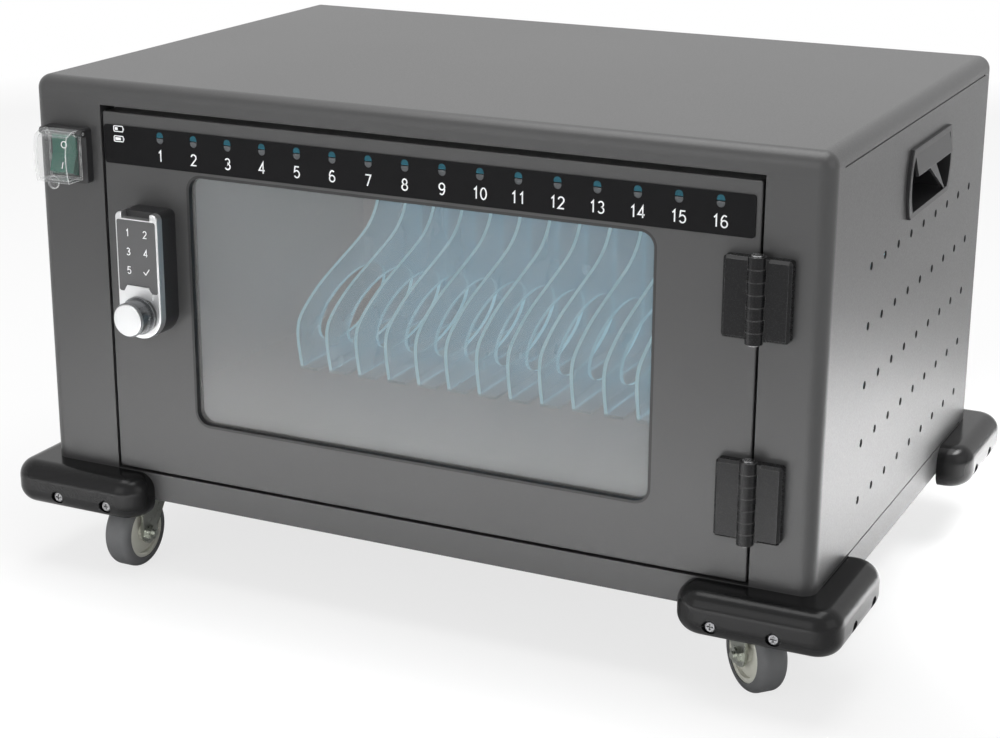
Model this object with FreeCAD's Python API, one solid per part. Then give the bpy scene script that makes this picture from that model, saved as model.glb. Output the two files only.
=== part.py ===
import FreeCAD, Part
import math
import os
from FreeCAD import Vector

# Device charging cabinet on four swivel casters, in millimetres.
# The origin is on the floor under the middle of the whole box. +Z is up and the door faces -Y.

# Cabinet body
body_width = 650.0
body_depth = 438.0
body_height = 339.0
sheet = 1.5
edge_radius = 11.0
base_height = 22.5
base_lip = 12.0
floor_rise = 8.6
lid_skirt = 18.5
back_return = 30.0
seam_height = 1.2
seam_depth = 0.8
seam_end = 24.0
lid_groove_drop = 13.8
overrun = 5.0

# Door and the frame that it closes on
left_stile = 63.0
right_stile = 47.0
door_gap = 2.0
door_top_gap = 4.5
door_depth = 17.0
door_return = 14.0
door_corner = 2.0
door_edge = 1.2
stop_lip = 12.0
stop_cover = 12.0
gasket_width = 8.0
gasket_thickness = 1.2
gasket_clearance = 0.3

# Window in the door
window_side = 76.75
window_rise = 47.5
window_corner = 11.0
pane_thickness = 3.0
pane_recess = 4.5
pane_bite = 6.0
seal_width = 9.0
seal_back = 2.0
seal_lip_width = 2.2

# Indicator strip
strip_height = 30.0
strip_drop = 10.0
strip_gap = 4.5
strip_left_margin = 1.5
strip_right_margin = 4.0
strip_thickness = 1.0
strip_corner = 2.5
light_count = 16
light_from_left = 51.5
light_from_right = 25.1
light_from_top = 6.5
light_width = 6.0
light_height = 9.0
light_split = 0.7
lens_recess = 0.3
lens_length = 3.7
board_height = 20.0
board_thickness = 1.6
board_post_radius = 2.5

# Keypad lock
lock_from_edge = 44.0
knob_below_window_middle = 7.75
lock_width = 38.4
lock_above_knob = 81.0
lock_top_corner = 5.0
lock_edge = 1.2
housing_depth = 18.0
face_depth = 7.0
notch_width = 26.0
notch_height = 5.0
keypad_margin = 1.5
keypad_height = 57.0
keypad_thickness = 1.2
keypad_corner = 2.0
keypad_below_top = 5.9
tab_width = 26.0
tab_slope = 3.0
tab_height = 5.0
tab_thickness = 0.9
boss_radius = 9.0
boss_length = 12.0
nut_across = 24.0
nut_thickness = 5.0
knob_flange_radius = 15.0
knob_flange_thickness = 1.8
knob_radius = 13.6
knob_cap_radius = 12.6
knob_cap_thickness = 2.2
knob_length = 16.0
knob_edge = 0.8
knob_lift = 0.3
spindle_radius = 4.0
cam_reach = 44.0
cam_width = 14.0
cam_thickness = 2.5
cam_clearance = 1.5
cam_screw_radius = 6.0
cam_screw_thickness = 2.5
cam_square = 6.0
running_clearance = 0.1

# Hinges
lower_hinge_rise = 64.3
upper_hinge_drop = 80.3
leaf_width = 24.5
leaf_height = 58.0
leaf_thickness = 9.0
leaf_bevel = 2.0
leaf_corner = 2.5
knuckle_radius = 6.3
knuckle_count = 7
knuckle_gap = 0.3
barrel_height = 62.0
barrel_clearance = 0.4
pin_radius = 3.0
pin_clearance = 0.05
pin_head = 0.8
pin_head_radius = 4.2

# Mains switch and its clear cover
switch_from_edge = 33.5
switch_below_top = 59.0
bezel_width = 40.0
bezel_height = 43.5
bezel_depth = 7.0
bezel_corner = 2.5
switch_body_width = 28.0
switch_body_height = 38.0
switch_body_depth = 32.0
switch_fit = 0.4
rocker_width = 22.0
rocker_radius = 16.5
rocker_front = 6.0
rocker_gap = 0.4
rocker_pivot_depth = 4.0
rocker_pin_radius = 1.5
rocker_pin_length = 1.5
rocker_tilt = 10.0
rocker_spread = 60.0
rocker_back_spread = 100.0
rocker_floor_gap = 0.6
terminal_width = 6.3
terminal_thickness = 0.8
terminal_length = 8.0
cover_wall = 1.6
cover_depth = 18.0
cover_bulge = 2.5
cover_drop = 37.2
cover_top_drop = 3.0
cover_gap = 0.4
barrel_radius = 2.6
cover_pin_radius = 1.3
cover_pin_stand = 3.6
cover_pin_below_top = 3.4
ear_width = 4.5
ear_gap = 0.3
tab_radius = 5.0

# Recessed side handles
handle_behind_middle = 26.0
handle_below_top = 60.0
handle_length = 122.0
handle_bulge = 7.0
handle_tall = 53.0
handle_flange = 3.2
handle_flange_edge = 0.8
handle_border = 3.0
handle_wall = 1.6
handle_pocket = 28.0
hood_height = 16.0
hood_thickness = 2.4
hood_stand = 3.0
hood_web_shares = (0.25, 0.5, 0.95)

# Side vents
vent_columns = 9
vent_rows = 5
vent_column_pitch = 35.2
vent_row_pitch = 44.6
vent_first_column = -116.8
vent_below_top = 100.5
vent_radius = 3.2

# Inside of the cabinet
partition_setback = 32.0
partition_flange = 14.0
bay_margin = 4.0
shelf_height = 64.0
shelf_setback = 24.0
shelf_flange = 12.0
rear_gap = 36.0
rear_wall_drop = 20.0
divider_count = 17
divider_margin = 61.2
divider_thickness = 3.0
divider_length = 219.5
divider_headroom = 93.0
divider_sweep_share = 0.6515
divider_back_gap = 1.0
foot_width = 17.0
foot_thickness = 2.5
hand_hole_middle_shares = (0.41, 0.2022)
hand_hole_long_share = 0.2733
hand_hole_short_share = 0.14
hand_hole_tilt = 12.0
cable_hole_middle_shares = (0.8064, 0.764)
cable_hole_tall = 52.0
cable_hole_radius = 12.0
front_edge_shares = (
    (0.0, 0.0), (-0.035, 0.125), (-0.028, 0.226), (0.073, 0.301), (0.24, 0.372),
    (0.437, 0.43), (0.685, 0.498), (0.867, 0.567), (0.965, 0.66), (0.998, 0.80), (1.0, 1.0),
)

# Charging electronics
port_gap = 17.5
port_bar_tall = 26.0
port_bar_depth = 15.0
port_bar_margin = 12.0
cable_slot_width = 14.0
cable_slot_height = 24.0
port_width = 13.0
port_tall = 5.8
port_depth = 10.0
tongue_width = 11.0
tongue_thickness = 1.9
tongue_length = 8.0
supply_width = 215.0
supply_depth = 115.0
supply_height = 50.0
supply_edge = 2.0
supply_slot_count = 9
supply_slot_pitch = 14.0
supply_slot_width = 4.0
supply_slot_length = 60.0
supply_slot_depth = 3.0

# Back panel, fan and mains inlet
fan_size = 80.0
fan_depth = 25.0
fan_bore = 38.0
fan_from_middle = 120.0
fan_below_top = 124.0
fan_corner = 4.0
fan_hub = 17.0
fan_blade_count = 7
fan_blade_thickness = 1.6
fan_blade_pitch = 38.0
fan_tip_gap = 1.2
fan_motor_depth = 6.0
fan_shaft = 2.0
fan_arm = 5.0
fan_hub_gap = 0.5
grille_rings = 4
grille_slot = 5.0
grille_rib = 3.6
grille_spoke = 5.0
slot_pitch = 9.0
slot_width = 4.0
slot_length = 120.0
slot_margin = 26.0
inlet_from_edge = 44.0
inlet_height = 70.0
inlet_flange_width = 28.0
inlet_flange_height = 50.0
inlet_flange_thickness = 3.0
inlet_corner = 4.0
inlet_well_width = 17.0
inlet_well_height = 25.0
inlet_well_depth = 17.0
inlet_wall = 2.0
inlet_pin_width = 2.0
inlet_pin_height = 4.0
inlet_pin_length = 11.5
inlet_pin_pitch = 7.0
inlet_pin_offset = 4.0

# Corner bumpers
bumper_reach = 27.0
bumper_arm = 97.0
bumper_tall = 36.0
bumper_drop = 14.0
bumper_corner = 20.0
bumper_end = 22.0
bumper_round = 14.0
bumper_screw_places = (19.0, 66.0)
bumper_screw_drop = 3.0
bracket_drop = 8.0
bracket_margin = 8.0
counterbore_radius = 5.6
counterbore_depth = 5.0

# Screws
screw_radius = 2.2
screw_head_radius = 4.3
screw_head = 2.6
screw_length = 5.0
screw_edge = 0.8
recess_reach = 2.5
recess_width = 1.1
recess_depth = 1.5
screw_clearance = 0.2
back_screw_rows = (40.0, 160.0, 280.0)
back_screw_inset = 20.5

# Casters
caster_inset_x = 62.0
caster_inset_y = 39.0
caster_turns = {
    "front_left": -90.0,
    "front_right": -42.0,
    "rear_left": 60.0,
    "rear_right": 115.0,
}
axle_nut_sides = {
    "front_left": 1,
    "front_right": -1,
    "rear_left": 1,
    "rear_right": -1,
}
wheel_radius = 30.0
wheel_width = 23.0
wheel_headroom = 4.1
tread_round = 6.5
hub_radius = 22.0
hub_width = 21.0
hub_dish = 3.0
hub_rim = 3.5
hub_boss = 7.0
trail = 20.0
plate_size = 52.0
plate_thickness = 2.5
plate_corner = 6.0
bolt_spacing = 40.0
bolt_radius = 3.0
bolt_across = 9.0
bolt_head = 3.6
race_radius = 19.0
race_height = 3.5
swivel_gap = 0.3
dish_radius = 20.5
dish_height = 5.0
dish_edge = 2.0
fork_sheet = 2.2
fork_gap = 1.3
fork_back = 14.0
fork_front = 28.0
fork_foot = 9.5
fork_corner = 5.0
kingpin_radius = 5.0
kingpin_head_radius = 7.0
kingpin_head = 1.4
axle_radius = 3.0
axle_across = 11.0
axle_head = 4.0
axle_end = 2.0

# Places that follow from the sizes above
left = -body_width / 2
right = body_width / 2
front = -body_depth / 2
back = body_depth / 2
fork_bridge_bottom = 2 * wheel_radius + wheel_headroom
fork_bridge_top = fork_bridge_bottom + fork_sheet
fork_top = fork_bridge_top + dish_height
floor_under = fork_top + swivel_gap + race_height + plate_thickness
floor_top = floor_under + sheet
bottom = floor_under - floor_rise
top = bottom + body_height
base_top = bottom + base_height
lid_bottom = top - lid_skirt
opening_left = left + left_stile
opening_right = right - right_stile
door_left = opening_left + door_gap
door_right = opening_right - door_gap
door_bottom = base_top + door_gap
door_top = lid_bottom - door_top_gap
door_back = front + door_depth
stop_front = door_back + gasket_clearance + gasket_thickness
stop_back = stop_front + sheet
mouth_left = opening_left + stop_lip
mouth_right = opening_right - stop_lip
mouth_bottom = base_top + stop_lip
mouth_top = door_top - stop_lip
strip_left = door_left + strip_left_margin
strip_right = door_right - strip_right_margin
strip_top = door_top - strip_drop
strip_bottom = strip_top - strip_height
window_left = door_left + window_side
window_right = door_right - window_side
window_bottom = door_bottom + window_rise
window_top = strip_bottom - strip_gap
light_middle = strip_top - light_from_top
light_pitch = (strip_right - strip_left - light_from_left - light_from_right) / (light_count - 1)
lock_x = door_left + lock_from_edge
knob_z = (window_bottom + window_top) / 2 - knob_below_window_middle
lock_face_back = front - housing_depth
lock_face_front = lock_face_back - face_depth
cam_front = stop_back + cam_clearance
hinge_x = opening_right - door_gap / 2
hinge_y = front - leaf_thickness
hinge_heights = (door_bottom + lower_hinge_rise, door_top - upper_hinge_drop)
switch_x = left + switch_from_edge
switch_z = top - switch_below_top
bezel_front = front - bezel_depth
handle_z = top - handle_below_top
partition_right = opening_left + bay_margin + sheet
rear_wall_back = back - rear_gap
rear_wall_front = rear_wall_back - sheet
shelf_top = bottom + shelf_height
inner_right = right - sheet
inner_top = top - sheet
bay_middle = (partition_right + inner_right) / 2
divider_pitch = (inner_right - partition_right - 2 * divider_margin) / (divider_count - 1)
divider_foot_top = shelf_top + foot_thickness
divider_back = rear_wall_front - divider_back_gap
divider_front = divider_back - divider_length
divider_height = inner_top - divider_headroom - divider_foot_top
port_bar_bottom = divider_foot_top + divider_height + port_gap
panel_back = back - sheet
panel_front = panel_back - sheet
fan_z = top - fan_below_top
fan_bottom = fan_z - fan_size / 2
slot_count = int((fan_bottom - base_top - 2 * slot_margin) / slot_pitch) + 1
slot_middle = (base_top + fan_bottom) / 2
knob_reach = housing_depth + face_depth + tab_thickness + knob_lift + knob_length
front_reach = max(knob_reach, bumper_reach)

# Pieces are drawn about the cabinet's middle and saved this much further back, which centres the whole box
frame_shift = (front_reach - bumper_reach) / 2

# How near two directions or places are to count as the same
tolerance = 0.0001

AXIS_X = Vector(1, 0, 0)
AXIS_Y = Vector(0, 1, 0)
AXIS_Z = Vector(0, 0, 1)
ORIGIN = Vector(0, 0, 0)


def block(x_from, x_to, y_from, y_to, z_from, z_to):
    """Box between two places along each axis."""
    corner = Vector(min(x_from, x_to), min(y_from, y_to), min(z_from, z_to))
    return Part.makeBox(abs(x_to - x_from), abs(y_to - y_from), abs(z_to - z_from), corner)


def rod(radius, start, end):
    """Round bar between two points."""
    run = end - start
    return Part.makeCylinder(radius, run.Length, start, run)


def hex_rod(across, start, end):
    """Hexagonal bar between two points, by its width across the flats."""
    run = end - start
    side = AXIS_Z if abs(run.dot(AXIS_Z)) < run.Length / 2 else AXIS_X
    spoke = side * (across / math.sqrt(3))
    turn = FreeCAD.Rotation(run, 60)
    corners = [start + spoke]
    for _ in range(6):
        spoke = turn.multVec(spoke)
        corners.append(start + spoke)
    return Part.Face(Part.makePolygon(corners)).extrude(run)


def edges_along(shape, axis):
    """Straight edges that run along an axis."""
    found = []
    for edge in shape.Edges:
        if edge.Curve.TypeId != "Part::GeomLine":
            continue
        if abs(edge.tangentAt(edge.FirstParameter).dot(axis)) > 1 - tolerance:
            found.append(edge)
    return found


def edges_at(shape, axis, place):
    """Edges that lie in the plane across an axis at one place."""
    found = []
    for edge in shape.Edges:
        box = edge.BoundBox
        low = Vector(box.XMin, box.YMin, box.ZMin).dot(axis)
        high = Vector(box.XMax, box.YMax, box.ZMax).dot(axis)
        if abs(low - place) < tolerance and abs(high - place) < tolerance:
            found.append(edge)
    return found


def rounded(shape, axis, radius):
    """A shape with all its straight edges along an axis rounded."""
    return shape.makeFillet(radius, edges_along(shape, axis))


def plate(x_from, x_to, z_from, z_to, y_from, y_to, corner):
    """Upright plate across Y with rounded corners."""
    return rounded(block(x_from, x_to, y_from, y_to, z_from, z_to), AXIS_Y, corner)


def outline(start, *steps):
    """Closed wire. A step is the end of a straight run, or a pair of points for an arc through and to."""
    edges = []
    here = start
    for step in steps:
        if isinstance(step, tuple):
            through, there = step
            edges.append(Part.Arc(here, through, there).toShape())
        else:
            there = step
            edges.append(Part.LineSegment(here, there).toShape())
        here = there
    if (here - start).Length > tolerance:
        edges.append(Part.LineSegment(here, start).toShape())
    return Part.Wire(edges)


def prism(wire, run):
    """Solid that a closed flat wire sweeps along a vector."""
    return Part.Face(wire).extrude(run)


def around(middle, radius, degrees, across, up):
    """Point on a circle, by its angle from one direction towards another."""
    turn = math.radians(degrees)
    return middle + across * (radius * math.cos(turn)) + up * (radius * math.sin(turn))


def joined(*shapes):
    """One solid from solids that meet."""
    whole = shapes[0].multiFuse(list(shapes[1:])).removeSplitter()
    return only_solid(whole)


def only_solid(shape):
    """The one solid in a shape, so that a piece that fell apart stops the build."""
    if len(shape.Solids) != 1:
        raise ValueError("expected one solid, got %d" % len(shape.Solids))
    return shape.Solids[0]


def without(shape, *tools):
    """A solid less some tools."""
    return only_solid(shape.cut(list(tools)).removeSplitter())


def mirrored(shape):
    """The same shape on the other side of the cabinet, left for right."""
    return shape.mirror(ORIGIN, AXIS_X)


def save(node, *solids):
    """Write a node, as one solid or as a group of separate solids."""
    shape = solids[0]
    if len(solids) > 1:
        shape = Part.makeCompound(list(solids))
    shape = shape.translated(AXIS_Y * frame_shift)
    shape.exportStep("parts/" + node + ".step")


def body_form(inset, low):
    """The cabinet's outer form, drawn in by an inset, with its upright and top edges rounded."""
    high = top - inset
    form = block(left + inset, right - inset, front + inset, back - inset, low, high)
    return form.makeFillet(edge_radius - inset, edges_along(form, AXIS_Z) + edges_at(form, AXIS_Z, high))


def slab(low, high):
    """Everything between two heights."""
    return block(left - overrun, right + overrun, front - overrun, back + overrun, low, high)


def side_grooves(low):
    """Grooves along both sides of the cabinet, just above a height and short of the corners."""
    return [block(side * (right - seam_depth), side * (right + overrun), front + seam_end, back - seam_end,
                  low, low + seam_height) for side in (-1, 1)]


def body_skin():
    """The bent sheet of the cabinet in one piece, open below."""
    return body_form(0, bottom).cut(body_form(sheet, bottom - overrun))


def bumper_screw_places_on(side, end):
    """Points on the cabinet's walls, and outward directions, of the screws of one corner's bumper."""
    corner = Vector(side * right, end * back, bottom - bumper_screw_drop)
    places = []
    for along in bumper_screw_places:
        places.append((corner - AXIS_X * (side * along), AXIS_Y * end))
        places.append((corner - AXIS_Y * (end * along), AXIS_X * side))
    return places


def all_bumper_screws():
    """Screw places of all four bumpers."""
    places = []
    for side in (-1, 1):
        for end in (-1, 1):
            places += bumper_screw_places_on(side, end)
    return places


def caster_places():
    """Swivel axes of the casters at the height of the base's floor, by name."""
    x = right - caster_inset_x
    y = back - caster_inset_y
    return {
        "front_left": Vector(-x, -y, floor_under),
        "front_right": Vector(x, -y, floor_under),
        "rear_left": Vector(-x, y, floor_under),
        "rear_right": Vector(x, y, floor_under),
    }


def bolt_places():
    """Axes of the bolts that hold the casters' plates."""
    half = bolt_spacing / 2
    return [middle + Vector(x, y, 0) for middle in caster_places().values()
            for x in (-half, half) for y in (-half, half)]


def top_cover():
    """Lid with a skirt, rounded edges and a groove along each side."""
    lid = body_skin().common(slab(lid_bottom, top + overrun))
    return without(lid, *side_grooves(top - lid_groove_drop))


def vents():
    """Drills for the grid of vents in the right side."""
    drills = []
    for column in range(vent_columns):
        for row in range(vent_rows):
            y = vent_first_column + column * vent_column_pitch
            z = top - vent_below_top - row * vent_row_pitch
            drills.append(rod(vent_radius, Vector(right - overrun, y, z), Vector(right + overrun, y, z)))
    return drills


def handle_outline(border, x):
    """Outline of a side handle with bowed ends, drawn in by a border, in the plane at x."""
    half = handle_tall / 2 - border
    bowed = handle_length / 2 - border
    straight = bowed - handle_bulge
    middle = Vector(x, handle_behind_middle, handle_z)
    up = AXIS_Z * half
    return outline(
        middle - AXIS_Y * straight - up,
        middle + AXIS_Y * straight - up,
        (middle + AXIS_Y * bowed, middle + AXIS_Y * straight + up),
        middle - AXIS_Y * straight + up,
        (middle - AXIS_Y * bowed, middle - AXIS_Y * straight - up),
    )


def side_panel(side):
    """Bent side sheet with its stile, door jamb, back return, vents and handle hole."""
    ring = body_skin().common(slab(base_top, lid_bottom)).cut(side_grooves(base_top))
    doorway = block(opening_left, opening_right, front - overrun, front + edge_radius, bottom, top)
    back_half = right - back_return
    back_way = block(-back_half, back_half, back - edge_radius, back + overrun, bottom, top)
    half = block(0, side * (right + overrun), front - overrun, back + overrun, bottom, top)
    panel = only_solid(ring.cut([doorway, back_way]).common(half))
    edge = opening_right if side > 0 else opening_left
    jamb = block(edge, edge + side * sheet, front, stop_front, base_top, lid_bottom)
    panel = joined(panel, jamb)
    drills = vents()
    hole = prism(handle_outline(handle_border, right - edge_radius), AXIS_X * (edge_radius + overrun))
    screws = []
    for height in back_screw_rows:
        z = bottom + height
        x = right - back_screw_inset
        place = Vector(x, back, z)
        screws.append(rod(screw_radius + screw_clearance, place - AXIS_Y * overrun, place + AXIS_Y * overrun))
    tools = drills + [hole] + screws
    if side < 0:
        tools = [mirrored(tool) for tool in tools]
        half_width = switch_body_width / 2 + switch_fit
        half_height = switch_body_height / 2 + switch_fit
        tools.append(block(switch_x - half_width, switch_x + half_width, front - overrun, front + overrun,
                           switch_z - half_height, switch_z + half_height))
    return without(panel, *tools)


def bumper_brackets():
    """Tabs below the base's walls at the corners, which the bumpers hide and are screwed to."""
    low = bottom - bracket_drop
    high = bottom + sheet
    reach = bumper_arm - bracket_margin
    tabs = []
    for side in (-1, 1):
        x = side * right
        for end in (-1, 1):
            y = end * back
            tabs.append(block(x - side * edge_radius, x - side * reach, y - end * sheet, y, low, high))
            tabs.append(block(x - side * sheet, x, y - end * edge_radius, y - end * reach, low, high))
    return tabs


def base_pan():
    """Folded base with a floor, an inward lip below, a sill under the door and tabs for the bumpers."""
    ring = body_skin().common(slab(bottom, base_top))
    within = body_form(sheet, bottom - overrun)
    reach_x = right - sheet - base_lip
    reach_y = back - sheet - base_lip
    open_under = block(-reach_x, reach_x, -reach_y, reach_y, bottom - overrun, base_top)
    lip = within.common(slab(bottom, bottom + sheet)).cut(open_under)
    floor = within.common(slab(floor_under, floor_top))
    sill = block(opening_left, opening_right, front, stop_front, base_top - sheet, base_top)
    pan = joined(ring, lip, floor, sill, *bumper_brackets())
    drills = []
    for place in bolt_places():
        drills.append(rod(bolt_radius + screw_clearance, place - AXIS_Z * overrun, place + AXIS_Z * overrun))
    for place, out in all_bumper_screws():
        drills.append(rod(screw_radius + screw_clearance, place - out * overrun, place + out * overrun))
    return without(pan, *drills)


def door_stop_frame():
    """Flat frame behind the stiles that the door closes on and the latch cam catches."""
    outer = block(opening_left - stop_cover, opening_right + stop_cover, stop_front, stop_back,
                  base_top - sheet, inner_top)
    mouth = block(mouth_left, mouth_right, stop_front - overrun, stop_back + overrun, mouth_bottom, mouth_top)
    return without(outer, mouth)


def door_gasket():
    """Foam strip on the stop frame, round the mouth."""
    y = stop_front - gasket_thickness
    outer = block(mouth_left - gasket_width, mouth_right + gasket_width, y, stop_front,
                  mouth_bottom - gasket_width, mouth_top + gasket_width)
    mouth = block(mouth_left, mouth_right, y - overrun, stop_front + overrun, mouth_bottom, mouth_top)
    return without(outer, mouth)


def slot_form(middle, reach, side, run):
    """Slot or plug with round ends, by the vectors from its middle to one end's centre and to one side."""
    tip = Vector(reach).normalize() * side.Length
    return prism(outline(
        middle - reach - side,
        middle + reach - side,
        (middle + reach + tip, middle + reach + side),
        middle - reach + side,
        (middle - reach - tip, middle - reach - side),
    ), run)


def stadium(x, z, width, height, y_from, y_to):
    """Upright slot or plug with round ends, along Y."""
    reach = AXIS_Z * ((height - width) / 2)
    return slot_form(Vector(x, y_from, z), reach, AXIS_X * (width / 2), AXIS_Y * (y_to - y_from))


def light_places():
    """Middles of the indicator lights along the strip."""
    return [strip_left + light_from_left + i * light_pitch for i in range(light_count)]


def door_panel():
    """Door folded from sheet, with returns, a window and holes for the lights and the lock."""
    outer = plate(door_left, door_right, door_bottom, door_top, front, door_back, door_corner)
    outer = outer.makeFillet(door_edge, edges_at(outer, AXIS_Y, front))
    hollow = block(door_left + sheet, door_right - sheet, front + sheet, door_back - sheet,
                   door_bottom + sheet, door_top - sheet)
    mouth = block(door_left + door_return, door_right - door_return, front + sheet, door_back + overrun,
                  door_bottom + door_return, door_top - door_return)
    window = plate(window_left - seal_lip_width, window_right + seal_lip_width, window_bottom - seal_lip_width,
                   window_top + seal_lip_width, front - overrun, front + overrun, window_corner + seal_lip_width)
    lights = [stadium(x, light_middle, light_width, light_height, front - overrun, front + overrun)
              for x in light_places()]
    axis = Vector(lock_x, front, knob_z)
    lock_hole = rod(boss_radius, axis - AXIS_Y * overrun, axis + AXIS_Y * overrun)
    return without(outer, hollow, mouth, window, lock_hole, *lights)


def window_form(grow, y_from, y_to):
    """Plate of the window's shape, grown all round."""
    return plate(window_left - grow, window_right + grow, window_bottom - grow, window_top + grow,
                 y_from, y_to, window_corner + grow)


def window_pane():
    """Clear pane, with its edge inside the seal."""
    y = front + pane_recess
    return window_form(pane_bite, y, y + pane_thickness)


def window_seal():
    """Rubber channel round the window that lines the sheet's edge and holds the pane."""
    back_face = front + pane_recess + pane_thickness + seal_back
    lip = window_form(seal_lip_width, front, front + sheet)
    channel = window_form(seal_width, front + sheet, back_face)
    opening = window_form(0, front - overrun, back_face + overrun)
    return without(joined(lip, channel), opening, window_pane())


def indicator_strip():
    """Black strip on the door with a slot for each light."""
    y = front - strip_thickness
    strip = plate(strip_left, strip_right, strip_bottom, strip_top, y, front, strip_corner)
    slots = [stadium(x, light_middle, light_width, light_height, y - overrun, front + overrun)
             for x in light_places()]
    return without(strip, *slots)


def lenses(side):
    """Upper or lower half of each light's lens."""
    y = front - strip_thickness + lens_recess
    far = light_height
    found = []
    for x in light_places():
        plug = stadium(x, light_middle, light_width, light_height, y, y + lens_length)
        half = block(x - far, x + far, y - overrun, y + lens_length + overrun,
                     light_middle + side * light_split / 2, light_middle + side * far)
        found.append(only_solid(plug.common(half)))
    return found


def indicator_board():
    """Circuit board behind the lenses, on posts."""
    y = front - strip_thickness + lens_recess + lens_length
    half = board_height / 2
    places = light_places()
    margin = light_pitch / 2
    board = block(places[0] - margin, places[-1] + margin, y, y + board_thickness,
                  light_middle - half, light_middle + half)
    posts = []
    for i in range(light_count - 1):
        if i % (light_count // 4):
            continue
        place = Vector((places[i] + places[i + 1]) / 2, y, light_middle)
        posts.append(rod(board_post_radius, place, Vector(place.x, front + sheet, place.z)))
    return joined(board, *posts)


def lock_form(inset, y_from, y_to):
    """The lock's outline, with a round lower end about the knob, drawn in by an inset."""
    half = lock_width / 2 - inset
    upper = block(lock_x - half, lock_x + half, y_from, y_to, knob_z, knob_z + lock_above_knob - inset)
    crown = [e for e in edges_along(upper, AXIS_Y) if e.BoundBox.ZMin > knob_z]
    upper = upper.makeFillet(lock_top_corner - inset, crown)
    return joined(upper, rod(half, Vector(lock_x, y_from, knob_z), Vector(lock_x, y_to, knob_z)))


def spindle_hole():
    """Drill for the knob's spindle through the lock."""
    near = Vector(lock_x, lock_face_front - overrun, knob_z)
    far = Vector(lock_x, stop_back + overrun, knob_z)
    return rod(spindle_radius + running_clearance, near, far)


def lock_housing():
    """Black body of the lock, with the threaded boss that passes through the door."""
    body = lock_form(0, lock_face_back, front)
    boss = rod(boss_radius, Vector(lock_x, front, knob_z), Vector(lock_x, front + boss_length, knob_z))
    return without(joined(body, boss), spindle_hole())


def keypad_form(y_from, y_to):
    """The keypad's place on the lock's face."""
    half = lock_width / 2 - keypad_margin
    high = knob_z + lock_above_knob - keypad_below_top
    return plate(lock_x - half, lock_x + half, high - keypad_height, high, y_from, y_to, keypad_corner)


def lock_face():
    """Metal face with a notch at its top, a pocket for the keypad and a raised tab below it."""
    face = lock_form(0, lock_face_front, lock_face_back)
    face = face.makeFillet(lock_edge, edges_at(face, AXIS_Y, lock_face_front))
    crest = knob_z + lock_above_knob
    notch = block(lock_x - notch_width / 2, lock_x + notch_width / 2, lock_face_front - overrun,
                  lock_face_back + overrun, crest - notch_height, crest + overrun)
    pocket = keypad_form(lock_face_front - overrun, lock_face_front + keypad_thickness)
    low = crest - keypad_below_top - keypad_height
    y = lock_face_front - tab_thickness
    half = tab_width / 2
    tab = prism(outline(
        Vector(lock_x - half, y, low - tab_height),
        Vector(lock_x + half, y, low - tab_height),
        Vector(lock_x + half, y, low),
        Vector(lock_x + half - tab_slope, y, low + tab_height),
        Vector(lock_x - half + tab_slope, y, low + tab_height),
        Vector(lock_x - half, y, low),
    ), AXIS_Y * (tab_thickness + keypad_thickness))
    return without(joined(face.cut([notch, pocket]), tab), spindle_hole())


def keypad_panel():
    """Touch panel let into the lock's face, cut round the raised tab."""
    panel = keypad_form(lock_face_front, lock_face_front + keypad_thickness)
    return without(panel, lock_face())


def lock_nut():
    """Nut that holds the lock from inside the door."""
    start = Vector(lock_x, front + sheet, knob_z)
    nut = hex_rod(nut_across, start, start + AXIS_Y * nut_thickness)
    return without(nut, rod(boss_radius, start - AXIS_Y * overrun, start + AXIS_Y * (nut_thickness + overrun)))


def lock_knob():
    """Knob with a thin flange, open for its cap and bored for the spindle."""
    start = Vector(lock_x, lock_face_front - tab_thickness - knob_lift, knob_z)
    flange = rod(knob_flange_radius, start, start - AXIS_Y * knob_flange_thickness)
    grip = rod(knob_radius, start, start - AXIS_Y * (knob_length - knob_cap_thickness))
    spindle = rod(spindle_radius, start, start - AXIS_Y * (knob_length / 2))
    return without(joined(flange, grip), spindle)


def knob_cap():
    """Bright disc on the front of the knob."""
    end = Vector(lock_x, lock_face_front - tab_thickness - knob_lift - knob_length, knob_z)
    cap = rod(knob_cap_radius, end, end + AXIS_Y * knob_cap_thickness)
    return cap.makeFillet(knob_edge, edges_at(cap, AXIS_Y, end.y))


def lock_spindle():
    """Shaft from the knob to the cam, squared at the cam, with its end screw."""
    start = Vector(lock_x, lock_face_front - tab_thickness - knob_lift - knob_length / 2, knob_z)
    shoulder = Vector(lock_x, cam_front, knob_z)
    end = Vector(lock_x, cam_front + cam_thickness, knob_z)
    half = cam_square / 2
    square = block(lock_x - half, lock_x + half, cam_front, end.y, knob_z - half, knob_z + half)
    head = rod(cam_screw_radius, end, end + AXIS_Y * cam_screw_thickness)
    return joined(rod(spindle_radius, start, shoulder), square, head)


def latch_cam():
    """Cam that turns behind the stop frame, here let down so that the door is free."""
    half = cam_width / 2
    tip = Vector(lock_x, cam_front, knob_z - cam_reach + half)
    arm = block(lock_x - half, lock_x + half, cam_front, cam_front + cam_thickness, tip.z, knob_z)
    run = AXIS_Y * cam_thickness
    hub = Vector(lock_x, cam_front, knob_z)
    cam = joined(arm, rod(half, hub, hub + run), rod(half, tip, tip + run))
    half_square = cam_square / 2
    square = block(lock_x - half_square, lock_x + half_square, cam_front - overrun,
                   cam_front + cam_thickness + overrun, knob_z - half_square, knob_z + half_square)
    return without(cam, square)


def knuckle_heights(low, first):
    """Lower ends of every second knuckle of a hinge."""
    step = barrel_height / knuckle_count
    return [low + i * step for i in range(first, knuckle_count, 2)]


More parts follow.
